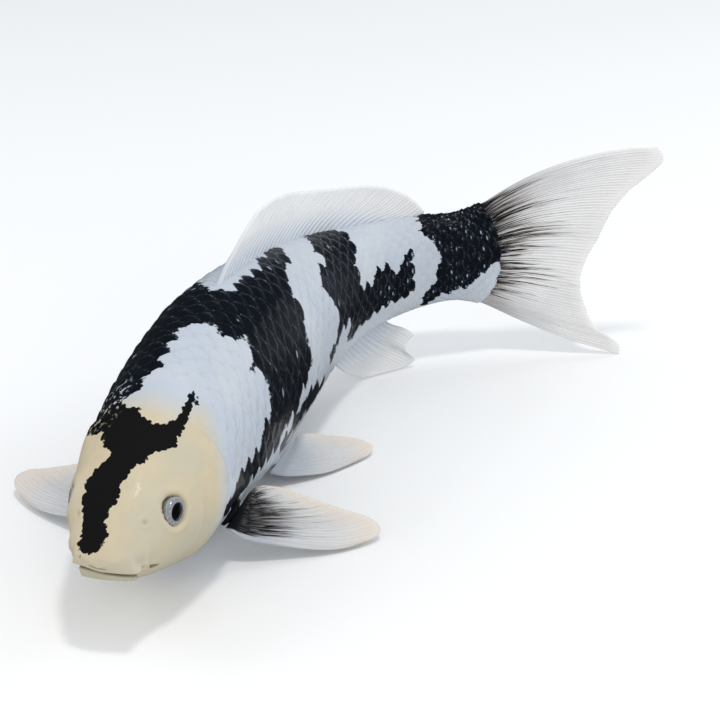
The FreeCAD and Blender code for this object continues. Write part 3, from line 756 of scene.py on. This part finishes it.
def coons(front, rear, root, edge, across, reach):
    """Sheet between four curves: front and rear run from the root to the edge, and root and edge
    run from the front to the rear. Each is an array of points with as many rows as the grid."""
    u, v = across[None, :, None], reach[:, None, None]
    between = (1 - u) * front[:, None] + u * rear[:, None]
    along = (1 - v) * root[None] + v * edge[None]
    near = (1 - u) * root[0] + u * root[-1]
    far = (1 - u) * edge[0] + u * edge[-1]
    return between + along - (1 - v) * near - v * far


def fin_rays(rays, u, v):
    """Ridges from -1 to 1 that fork halfway out, and how far they have faded in."""
    single = np.abs(np.cos(2 * math.pi * rays * u))
    forked = np.abs(np.cos(4 * math.pi * rays * u))
    fork = smooth_step((v - 0.35) / 0.3)
    ridge = 1 - 2 * ((1 - fork) * single + fork * forked) ** 0.7
    return ridge, smooth_step(v / 0.12) * smooth_step((1.02 - v) / 0.1)


def fin_sheet(fin, across, reach, v, edge_ridge):
    """Middle surface of the fin as outline points, with a scalloped edge."""
    sheet = coons(
        curve_through(fin["front"], len(reach)), curve_through(fin["rear"], len(reach)),
        curve_through(fin["root"], len(across)), curve_through(fin["edge"], len(across)),
        across, reach,
    )
    trail = sheet[-1] - sheet[-2]
    trail /= np.linalg.norm(trail, axis=-1)[:, None] + TINY
    uneven = 1.2 * (ripple(across * fin["rays"] * 0.9, 3) - 0.5)
    scallop = fin["scallop"] * (edge_ridge * 0.6 + uneven)
    return sheet + trail[None] * (scallop[None] * smooth_step((v - 0.75) / 0.25))[..., None]


def round_off(share):
    """Rises from 0 to 1 like a quarter circle over the first EDGE_ROUNDING of the sheet."""
    return np.sqrt(1 - (1 - np.clip(share / EDGE_ROUNDING, 0, 1)) ** 2)


def make_fin(name, fin, lay, stroke, material, body, node, plug=NO_PLUG):
    """Closed thin sheet with raised rays. lay(sheet, offset, u, v) turns outline points and an
    offset to one side into points in the part's frame, stroke(u, v) is its brush work, and plug
    holds the points and faces of its collar."""
    reach = 1 - (1 - np.linspace(0, 1, fin["reach_points"])) ** 1.15
    across = np.linspace(0, 1, fin["across_points"])
    u, v = np.meshgrid(across, reach)
    ridge, fade = fin_rays(fin["rays"], u, v)
    sheet = fin_sheet(fin, across, reach, v, ridge[-1])
    rounded = round_off(np.minimum(u, 1 - u)) * round_off(1 - v)
    at_root, at_edge = fin["thickness"]
    thick = np.maximum((at_root + (at_edge - at_root) * v ** 0.6) * rounded, THINNEST)
    crest = fin["ridge"] * ridge * fade * rounded
    left, right = (lay(sheet, sign * (thick + crest), u, v) for sign in (1, -1))
    points = np.concatenate([left, right[:, ::-1]], axis=1)
    faces, baked = tube_faces(*points.shape[:2], True)
    points = points.reshape(-1, 3)
    collar, collar_faces = plug
    faces += [tuple(index + len(points) for index in face) for face in collar_faces]
    baked += [(0.5, 0.0)] * sum(len(face) for face in collar_faces)
    points = np.concatenate([points, collar])
    values = {}
    for key, on_blade, on_collar in (
        ("ray", ridge * fade, 0.0), ("reach", v, 0.02), ("across", u, 0.5),
        ("stroke", stroke(u, v), float(stroke(0.5, 0.0))),
    ):
        both = np.concatenate([on_blade, on_blade[:, ::-1]], axis=1).ravel()
        values[key] = np.concatenate([both, np.full(len(collar), on_collar)])
    add_piece(name, points, faces, material, body, node, values, baked)


def strokes(envelope, seed, count):
    """Brush strokes that run along the rays: how far each one reaches past a point."""
    def reach_of(u, v):
        u = np.asarray(u, float)
        wander = u + 0.01 * np.sin(v * 9 + u * 20)
        spiky = ripple(wander * count, seed) ** 1.6
        fine = ripple(wander * count * 3.1, seed + 2)
        length = read_table(envelope, u) * (0.6 + 0.4 * spiky + 0.25 * fine)
        return 1 - v / np.maximum(length, 0.01)
    return reach_of


def no_strokes(u, v):
    return np.full(np.broadcast(u, v).shape, -1.0)


def skin_line(first, last, sign, count=12):
    """Root of a fin: a line along the back (sign 1) or belly (-1), sunk into the skin."""
    along = np.linspace(first, last, count)
    _, back, belly = body_section(along)
    rise = (back if sign > 0 else belly) - ROOT_SINK
    return np.stack([along, sign * rise], 1)


def make_upright_fin(node, fin, root, lean, material):
    """Fin along the back or belly, whose edge leans to the fish's left."""
    def lay(sheet, offset, u, v):
        return place(sheet[..., 0], offset + lean * v, sheet[..., 1])

    front, rear = [root[0], *fin["front"]], [root[-1], *fin["rear"]]
    fin = dict(fin, root=root, front=front, rear=rear)
    make_fin(f"{node}_sheet", fin, lay, no_strokes, material, "figure", node)


def make_tail(material):
    """Forked tail, which swells round the oval core at its root."""
    stations, widths = zip(*TAIL_CORE_WIDTH)

    def lay(sheet, offset, u, v):
        along, rise = sheet[..., 0], sheet[..., 1]
        half = spline(stations, widths, along)
        limit = np.where(rise > 0, read_table(TAIL_CORE_TOP, along), read_table(TAIL_CORE_LOW, along))
        oval = half * np.sqrt(np.clip(1 - (rise / limit) ** 2, 0, 1)) * smooth_step((1 - v) / 0.05)
        core = np.maximum(oval - TAIL_CORE_INSET, 0)
        return place(along, offset + np.sign(offset) * core, rise)

    stroke = strokes(TAIL_STROKES, 1, 30)
    make_fin("tail_fin_sheet", TAIL, lay, stroke, material, "figure", "caudal_fin")


def make_paired_fin(label, fin, sign, rest_turn, stroke, material):
    """Blade on the span and chord of the CAD fin, with its domed collar. Gives back the place,
    axis and radius of the collar."""
    along = fin["along"]
    root = place(along, sign * fin["side"], -fin["drop"])
    span = aim(along, sign, fin["sweep"], -fin["droop"])
    rearward = aim(along, sign, fin["sweep"] + 90, 0)
    upward = aim(along, sign, fin["sweep"], 90 - fin["droop"])
    pitch = math.radians(fin["pitch"])
    chord = rearward * math.cos(pitch) + upward * math.sin(pitch)
    lead = math.radians(fin["plug_lead"])
    axis = span * math.cos(lead) - chord * math.sin(lead)
    normal = np.cross(span, chord)
    normal *= np.sign(normal[2])
    radius = fin["neck"] + COLLAR_LIP
    turned = np.array(Matrix.Rotation(math.radians(sign * rest_turn), 3, axis.tolist()))

    def lay(sheet, offset, u, v):
        bow = fin["camber"] * (0.6 * v ** 2 + 0.25 * np.sin(math.pi * u) * v)
        points = (
            root + sheet[..., :1] * span + sheet[..., 1:] * chord
            + (offset + bow)[..., None] * normal
        )
        return root + (points - root) @ turned.T

    collar = [
        (-1.3, 0.05), (-1.3, radius * 0.6), (-1.3, radius - 0.05), (-0.4, radius),
        (0.25, radius - 0.02), (0.55, radius - 0.3), (0.85, radius - 1.0), (1.25, radius - 2.0),
        (1.55, radius * 0.35), (1.6, 0.05),
    ]
    make_fin(f"{label}_blade", fin, lay, stroke, material, label, label, lathe(collar, root, axis))
    return root, axis, radius


# ---------- eyes and barbels

# turned profiles: height out of the eye and radius
EYE_RING = [
    (-1.5, 0.05), (-1.5, 4.0), (0.0, 4.1), (0.3, 4.05), (0.55, 3.9), (0.7, 3.65), (0.62, 3.5),
    (0.7, 3.35), (0.8, 3.1), (0.8, 2.85), (0.68, 2.6), (0.4, 2.45), (0.1, 2.4), (-0.4, 2.38),
    (-0.4, 0.05),
]
EYE_PUPIL = [
    (-0.35, 0.05), (-0.35, 2.3), (0.25, 2.34), (0.45, 2.2), (0.6, 1.7), (0.7, 1.0), (0.74, 0.05),
]
DOME_RADIUS = 2.66
DOME_HEIGHT = 0.45
DOME_FOOT = 0.87
DOME_INSIDE = [(0.79, 0.05), (0.75, 1.0), (0.65, 1.7), (0.55, 2.25), (0.76, 2.6)]


def eye_dome():
    """Thin clear dome: its hollow underside, then the outside from the foot to the top."""
    outside = [
        (DOME_FOOT + DOME_HEIGHT * math.sin(a), DOME_RADIUS * math.cos(a) + 0.02)
        for a in np.linspace(0.1, 1.57, 9)
    ]
    return [*DOME_INSIDE, (DOME_FOOT, DOME_RADIUS), *outside]


def make_eye(side_name, sign, materials):
    """Silver ring, black pupil and clear dome, turned about the eye's axis."""
    axis = aim(EYE["along"], sign, EYE["yaw"], EYE["lift"])
    origin = place(EYE["along"], sign * EYE["side"], EYE["rise"])
    origin = origin + HEAD_SIDES[sign]["eye_out"] * axis
    parts = [
        ("iris", EYE_RING, "eye_silver"),
        ("pupil", EYE_PUPIL, "eye_black"),
        ("cornea", eye_dome(), "eye_clear"),
    ]
    for part, profile, slot in parts:
        points, faces = lathe(profile, origin, axis, 96)
        node = f"{side_name}_eye_{part}"
        add_piece(f"{node}_form", points, faces, materials[part], "figure", node)


def make_barbel(side_name, sign, material):
    """Short tapered feeler that bends back along the cheek."""
    root = place(BARBEL["along"], sign * BARBEL["side"], -BARBEL["drop"])
    axis = aim(BARBEL["along"], sign, BARBEL["yaw"], BARBEL["lift"])
    tailward = aim(BARBEL["along"], sign, 90, 10)
    circle = circle_round(axis, 16)
    rings = []
    for t in np.linspace(0, 1, 22):
        centre = root + axis * (-1.2 + 2.9 * t) + tailward * (0.9 * t * t)
        taper = (1 - 0.75 * t) * math.sqrt(max(1 - t ** 8, 0.01))
        rings.append(centre + circle * (0.42 * taper + 0.03 * math.sin(t * 40)))
    faces, baked = tube_faces(len(rings), len(circle), False)
    add_piece(
        f"{side_name}_barbel_form", np.concatenate(rings), faces, material, "figure",
        f"{side_name}_barbel", None, baked,
    )


# ---------- materials

def add_node(tree, kind, inputs, **settings):
    """New shader node; each input is a number, a colour or the output that is linked to it."""
    node = tree.nodes.new("ShaderNode" + kind)
    for key, value in settings.items():
        setattr(node, key, value)
    for key, value in inputs.items():
        connect(tree, node.inputs[key], value)
    return node.outputs


def connect(tree, socket, value):
    if isinstance(value, Wire):
        value = value.socket
    if isinstance(value, bpy.types.NodeSocket):
        tree.links.new(value, socket)
    elif isinstance(value, tuple):
        socket.default_value = (*value, 1.0)[:len(socket.default_value)]
    else:
        socket.default_value = value


class Wire:
    """A node's output; arithmetic on it adds math nodes."""

    def __init__(self, tree, socket):
        self.tree = tree
        self.socket = socket

    def math(self, operation, a, b):
        return Wire(self.tree, add_node(self.tree, "Math", {0: a, 1: b}, operation=operation)[0])

    def __add__(self, other):
        return self.math("ADD", self, other)

    def __sub__(self, other):
        return self.math("SUBTRACT", self, other)

    def __rsub__(self, other):
        return self.math("SUBTRACT", other, self)

    def __mul__(self, other):
        return self.math("MULTIPLY", self, other)

    def or_more(self, other):
        return self.math("MAXIMUM", self, other)


class Paint:
    """A material and short calls for the nodes it is made of."""

    def __init__(self, name, **settings):
        self.material = bpy.data.materials.new(name)
        self.material.use_nodes = True
        self.tree = self.material.node_tree
        self.shader = next(n for n in self.tree.nodes if n.type == "BSDF_PRINCIPLED")
        self.where = self.wire("TexCoord", {}, "Object")
        for key, value in settings.items():
            self.give(key.title(), value)

    def wire(self, kind, inputs, output=0, **settings):
        return Wire(self.tree, add_node(self.tree, kind, inputs, **settings)[output])

    def give(self, socket, value):
        connect(self.tree, self.shader.inputs[socket], value)

    def value(self, name):
        return self.wire("Attribute", {}, "Fac", attribute_name=name)

    def range(self, value, low, high, to_low=0.0, to_high=1.0):
        inputs = dict(enumerate((value, low, high, to_low, to_high)))
        return self.wire("MapRange", inputs, interpolation_type="SMOOTHSTEP")

    def mix(self, share, a, b):
        return self.wire("Mix", {0: share, 6: a, 7: b}, 2, data_type="RGBA")

    def blend(self, share, a, b):
        return self.wire("Mix", {0: share, 2: a, 3: b}, data_type="FLOAT")

    def noise(self, per_metre, detail=2.0, where=None):
        inputs = {"Vector": where or self.where, "Scale": per_metre, "Detail": detail}
        return self.wire("TexNoise", inputs)

    def cells(self, per_metre):
        return self.wire("TexVoronoi", {"Vector": self.where, "Scale": per_metre}, "Distance")

    def hairlines(self, across, reach, per_width, per_length, detail):
        """Noise drawn out along a fin's rays."""
        where = self.wire("CombineXYZ", {0: across * per_width, 1: reach * per_length})
        return self.noise(1.0, detail, where)

    def two_tone(self, value, dark, light):
        self.give("Base Color", self.mix(value, dark, light))

    def bump(self, height, distance, strength):
        inputs = {"Strength": strength, "Distance": distance, "Height": height}
        bumped = self.wire("Bump", inputs)
        self.give("Normal", bumped)
        self.give("Coat Normal", bumped)


BLUE_WHITE, BRIGHT_WHITE = (0.50, 0.55, 0.62), (0.56, 0.595, 0.64)
# GROOVE_SHADE is painted shade in the grooves between the white scales
SHADED_WHITE, GROOVE_SHADE, EDGE_HIGHLIGHT = (0.46, 0.52, 0.60), (0.28, 0.33, 0.40), (0.72, 0.76, 0.82)
CREAM, LIGHT_CREAM, GREY_CREAM = (0.56, 0.475, 0.32), (0.59, 0.505, 0.345), (0.52, 0.475, 0.36)
# CREASE_SHADE is painted shade in the crease of the mouth
LIP_BROWN, CREASE_SHADE = (0.42, 0.39, 0.29), (0.09, 0.08, 0.05)
INK, BLUE_INK, MATTE_INK = (0.0025, 0.0035, 0.006), (0.005, 0.009, 0.016), (0.007, 0.0065, 0.007)
# EDGE_SHINE and SCALE_GLINT are painted highlights on the black scales
EDGE_SHINE, SCALE_GLINT = (0.06, 0.067, 0.08), (0.30, 0.38, 0.50)


def black_share(paint, fine):
    """Where the black paint lies: lobed, ragged edges, painted glints on the scale edges, a speckled
    shoulder.
    """
    lobes = (0.45 - paint.cells(520.0)) * 1.9 * paint.blend(paint.value("scaled"), 1.0, 0.4)
    ragged = (fine - 0.5) * 1.2 + lobes
    painted = paint.range(paint.value("black") + ragged, -0.12, 0.12)
    speckle = paint.range(paint.noise(620.0, 5.0), 0.56, 0.60) * paint.value("shoulder")
    # the black is left off in specks along the scale edges, so the white shows as painted glints
    wear_and_glints = paint.range(fine, 0.60, 0.66) * (paint.value("rim") * 0.55)
    return painted * (1.0 - wear_and_glints.or_more(speckle))


def light_colour(paint, broad, medium):
    """Bluish white of the body and satin cream of the head."""
    white = paint.mix(paint.range(broad, 0.35, 0.65), BLUE_WHITE, BRIGHT_WHITE)
    white = paint.mix(paint.value("tint") * 0.25, white, SHADED_WHITE)
    # painted shade in the grooves between the scales
    white = paint.mix(paint.value("groove") * 0.14, white, GROOVE_SHADE)
    # painted highlight along the raised rear edges of the white scales
    white = paint.mix(paint.value("rim") * 0.15, white, EDGE_HIGHLIGHT)
    head = paint.mix(paint.range(medium, 0.3, 0.7), CREAM, LIGHT_CREAM)
    head = paint.mix(paint.range(broad, 0.42, 0.68), head, GREY_CREAM)
    head = paint.mix(paint.value("lip") * 0.6, head, LIP_BROWN)
    light = paint.mix(paint.value("cream"), white, head)
    # painted shade in the crease of the mouth and the groove above it
    return paint.mix(paint.value("crease") * 0.85, light, CREASE_SHADE)


def black_colour(paint, medium, matte):
    """Blue-black with painted highlights, thin light scale edges and small glints; plain black on the
    head.
    """
    ink = paint.mix(medium, INK, BLUE_INK)
    edge = paint.value("rim") * paint.range(medium, 0.35, 0.65, 0.1, 0.7)
    # painted highlight along the scale edges
    ink = paint.mix(edge, ink, EDGE_SHINE)
    glint = paint.value("glint") * paint.range(medium, 0.3, 0.55)
    # painted glints on a few scales
    ink = paint.mix(paint.range(glint, 0.15, 0.6), ink, SCALE_GLINT)
    return paint.mix(matte, ink, MATTE_INK)


def skin_material():
    """White and black gloss paint over the scales, satin cream head, matte black on the head."""
    paint = Paint("painted_skin")
    cream, matte, scaled = paint.value("cream"), paint.value("matte"), paint.value("scaled")
    broad = paint.noise(38.0)
    medium = paint.noise(260.0, 3.0)
    fine = paint.noise(1500.0, 4.0)
    painted = black_share(paint, fine)
    light = light_colour(paint, broad, medium)
    paint.give("Base Color", paint.mix(painted, light, black_colour(paint, medium, matte)))

    dull = matte * painted
    gloss = paint.blend(painted, paint.blend(cream, 0.30, 0.55), paint.blend(matte, 0.26, 0.85))
    paint.give("Roughness", gloss + medium * 0.08)
    paint.give("Coat Weight", (1.0 - dull) * paint.blend(cream, 0.5, 0.03))
    paint.give("Coat Roughness", 0.06)
    paint.give("Specular IOR Level", paint.blend(dull, paint.blend(painted, 0.45, 0.16), 0.12))
    relief = fine * paint.blend(scaled, 0.15, 0.8) + medium * paint.blend(scaled, 0.4, 1.6)
    paint.bump(relief * (painted * (scaled * 0.3) + 1.0), 0.00022, 0.9)
    return paint.material


# RAY_HOLLOW_SHADE is painted shade between the fin rays
FIN_SHADE, RAY_HOLLOW_SHADE, FIN_MARK = (0.60, 0.61, 0.64), (0.36, 0.37, 0.40), (0.27, 0.26, 0.26)
WARM_TIP, STROKE_BROWN, STROKE_BLACK = (0.80, 0.66, 0.52), (0.13, 0.09, 0.06), (0.005, 0.006, 0.008)


def fin_colour(paint, near, far, warm_tip, hairs):
    """Pearly sheet with painted shade between the rays, fine broken lines and a warm edge."""
    reach, across = paint.value("reach"), paint.value("across")
    base = paint.mix(paint.range(reach, 0.15, 0.75), near, far)
    base = paint.mix(paint.range(paint.noise(60.0), 0.4, 0.75, 0.0, 0.25), base, FIN_SHADE)
    hollow = paint.range(paint.value("ray"), 0.1, -0.9)
    # painted shade in the hollows between the rays, stronger near the root
    base = paint.mix(hollow * 0.34 * paint.blend(reach, 1.0, 0.4), base, RAY_HOLLOW_SHADE)
    dashes = paint.hairlines(across, reach, 90.0, 9.0, 1.0)
    marks = paint.range(hairs, 0.58, 0.72) * paint.range(dashes, 0.42, 0.6)
    base = paint.mix(marks * 0.34, base, FIN_MARK)
    return paint.mix(paint.range(reach, 0.7, 1.0) * warm_tip, base, WARM_TIP)


def stroke_shares(paint, lines, hairs, solid):
    """Shares of brown wash and of black brush strokes, both scratched along the rays. The paint
    is unbroken where the stroke value is over solid."""
    stroke, reach, across = paint.value("stroke"), paint.value("reach"), paint.value("across")
    spread = (lines + hairs * 0.45 - 0.95) * 2.6
    amount = stroke * 1.5 + spread
    scratches = paint.range(paint.hairlines(across, reach, 260.0, 7.0, 2.0), 0.56, 0.62)
    whole = 1.0 - paint.range(reach, 0.05, 0.12) * 0.9 * scratches
    brown = paint.range(amount, -0.2, 0.0) * paint.range(stroke, -0.2, 0.05)
    black = paint.range(amount, 0.0, 0.16) * paint.range(stroke, 0.0, 0.15)
    black = black.or_more(paint.range(stroke + spread * 0.14, solid - 0.1, solid))
    return brown * paint.blend(whole, 0.35, 0.85), black * whole


def fin_material(name, near, far, warm_tip, solid=0.8):
    """Pearly fin plastic with fine rays and dark brush strokes at the root."""
    paint = Paint(name)
    reach, across = paint.value("reach"), paint.value("across")
    lines = paint.hairlines(across, reach, 150.0, 1.6, 2.0)
    hairs = paint.hairlines(across, reach, 330.0, 2.2, 1.0)
    base = fin_colour(paint, near, far, warm_tip, hairs)
    brown, black = stroke_shares(paint, lines, hairs, solid)
    base = paint.mix(brown, base, STROKE_BROWN)
    paint.give("Base Color", paint.mix(black, base, STROKE_BLACK))
    paint.give("Roughness", paint.blend(black, 0.42, 0.3))
    paint.give("Specular IOR Level", paint.blend(black, 0.4, 0.25))
    paint.give("Coat Weight", 0.15)
    paint.give("Coat Roughness", 0.12)
    paint.bump(lines + hairs * 0.5, 0.00012, 0.6)
    return paint.material


def silver_material():
    paint = Paint("eye_silver_paint", metallic=0.55)
    grain = paint.noise(1100.0)
    paint.two_tone(grain, (0.40, 0.42, 0.47), (0.70, 0.72, 0.78))
    paint.give("Roughness", paint.range(grain, 0.2, 0.8, 0.14, 0.3))
    paint.bump(paint.noise(700.0), 0.00005, 0.5)
    return paint.material


def pupil_material():
    paint = Paint("eye_black_paint", roughness=0.08)
    paint.two_tone(paint.noise(700.0), (0.003, 0.003, 0.005), (0.012, 0.009, 0.008))
    paint.give("Coat Weight", 0.6)
    return paint.material


def cornea_material():
    """Clear dome that shows the pupil behind it and mirrors the lamps."""
    paint = Paint("eye_clear_dome", roughness=0.03)
    paint.two_tone(paint.noise(300.0), (0.0, 0.0, 0.0), (0.01, 0.01, 0.012))
    edge = paint.wire("LayerWeight", {"Blend": 0.25}, "Fresnel")
    clear = paint.wire("BsdfTransparent", {})
    share = paint.range(edge, 0.0, 1.0, 0.12, 0.7)
    both = paint.wire("MixShader", {0: share, 1: clear, 2: paint.shader.outputs[0]})
    output = next(node for node in paint.tree.nodes if node.type == "OUTPUT_MATERIAL")
    connect(paint.tree, output.inputs["Surface"], both)
    return paint.material


def barbel_material():
    paint = Paint("barbel_brown", roughness=0.45)
    paint.two_tone(paint.noise(1400.0), (0.16, 0.115, 0.06), (0.34, 0.27, 0.16))
    paint.bump(paint.noise(2500.0), 0.00005, 0.6)
    return paint.material


# ---------- stage, in metres

FLOOR_REACH = 30.0
WORLD_LIGHT = 0.80
WORLD_REFLECTION = 0.035  # the world as seen in glossy surfaces
LAMP_TARGET = Vector((0.03, 0.02, 0.03))
# name, place, size, power, colour, whether glossy surfaces mirror it
LAMPS = [
    ("key", (0.15, -0.15, 0.95), 0.10, 2.4, (1.0, 0.98, 0.95), True),
    ("near_side", (0.75, -0.75, 0.45), 0.6, 1.6, (1.0, 0.99, 0.97), False),
    ("far_side", (-0.8, -0.1, 0.7), 0.5, 1.6, (0.95, 0.97, 1.0), False),
    ("rear_side", (0.75, 0.60, 0.42), 0.40, 2.0, (0.90, 0.95, 1.0), False),
    ("rear_rim", (0.75, 0.75, 0.10), 0.20, 0.08, (0.80, 0.90, 1.0), True),
]
CAMERA_PLACE = Vector((0.1841, -0.5366, 0.3213))
CAMERA_TARGET = Vector((0.0546, -0.0210, 0.0647))
CAMERA_LENS = 99.0
CAMERA_SENSOR = 36.0


def make_floor():
    """Pale floor that glossy surfaces do not mirror."""
    mesh = bpy.data.meshes.new("floor")
    signs = [(-1, -1), (1, -1), (1, 1), (-1, 1)]
    mesh.from_pydata([(FLOOR_REACH * x, FLOOR_REACH * y, 0) for x, y in signs], [], [(0, 1, 2, 3)])
    floor = bpy.data.objects.new("floor", mesh)
    bpy.context.scene.collection.objects.link(floor)
    paint = Paint("pale_floor", roughness=0.9)
    paint.two_tone(paint.noise(3.0), (0.86, 0.86, 0.86), (0.88, 0.88, 0.88))
    paint.give("Specular IOR Level", 0.1)
    mesh.materials.append(paint.material)
    floor.visible_glossy = False


def make_world():
    """Even pale light from all round, darker in reflections."""
    world = bpy.data.worlds.new("studio")
    world.use_nodes = True
    tree = world.node_tree
    glossy = add_node(tree, "LightPath", {})["Is Glossy Ray"]
    ends = {"Value": glossy, "To Min": WORLD_LIGHT, "To Max": WORLD_REFLECTION}
    background = tree.nodes["Background"].inputs
    connect(tree, background["Color"], (0.94, 0.97, 1.0))
    connect(tree, background["Strength"], add_node(tree, "MapRange", ends)[0])
    bpy.context.scene.world = world


def point_at(item, place_of, target):
    """Put a lamp or camera in its place, facing its target, and in the scene."""
    item.location = place_of
    item.rotation_euler = (target - Vector(place_of)).to_track_quat("-Z", "Y").to_euler()
    bpy.context.scene.collection.objects.link(item)


def make_lamps():
    for name, position, size, power, color, mirrored in LAMPS:
        lamp = bpy.data.lights.new(name, "AREA")
        lamp.size = size
        lamp.energy = power
        lamp.color = color
        light = bpy.data.objects.new(name, lamp)
        light.visible_glossy = mirrored
        point_at(light, position, LAMP_TARGET)


def make_camera():
    lens = bpy.data.cameras.new("camera")
    lens.lens = CAMERA_LENS
    lens.sensor_width = CAMERA_SENSOR
    camera = bpy.data.objects.new("camera", lens)
    point_at(camera, CAMERA_PLACE, CAMERA_TARGET)
    bpy.context.scene.camera = camera
    bpy.context.scene.view_settings.view_transform = "Standard"


# ---------- build

def build():
    pearly = fin_material("fin_pearly", (0.60, 0.65, 0.72), (0.82, 0.82, 0.82), 0.0)
    side_fin = fin_material("fin_side", (0.42, 0.46, 0.51), (0.66, 0.655, 0.65), 0.45, 1.3)
    tail_fin = fin_material("fin_tail", (0.42, 0.41, 0.41), (0.86, 0.85, 0.84), 0.06, 0.5)
    make_upright_fin("dorsal_fin", DORSAL, skin_line(*DORSAL_ROOT, 1), 0, pearly)
    make_upright_fin("anal_fin", ANAL, skin_line(*ANAL_ROOT, -1), ANAL_LEAN, pearly)
    make_tail(tail_fin)
    brushed = strokes(PECTORAL_STROKES, 5, 14)
    turning_fins = [
        ("left_pectoral_fin", PECTORAL, 1, 0, brushed),
        ("right_pectoral_fin", PECTORAL, -1, RIGHT_PECTORAL_TURN, no_strokes),
        ("left_pelvic_fin", PELVIC, 1, 0, no_strokes),
        ("right_pelvic_fin", PELVIC, -1, 0, no_strokes),
    ]
    make_skin(skin_material(), [make_paired_fin(*fin, side_fin) for fin in turning_fins])
    eye_materials = {
        "iris": silver_material(), "pupil": pupil_material(), "cornea": cornea_material(),
    }
    brown = barbel_material()
    for side_name, sign in (("left", 1), ("right", -1)):
        make_eye(side_name, sign, eye_materials)
        make_barbel(side_name, sign, brown)
    make_floor()
    make_world()
    make_lamps()
    make_camera()


build()
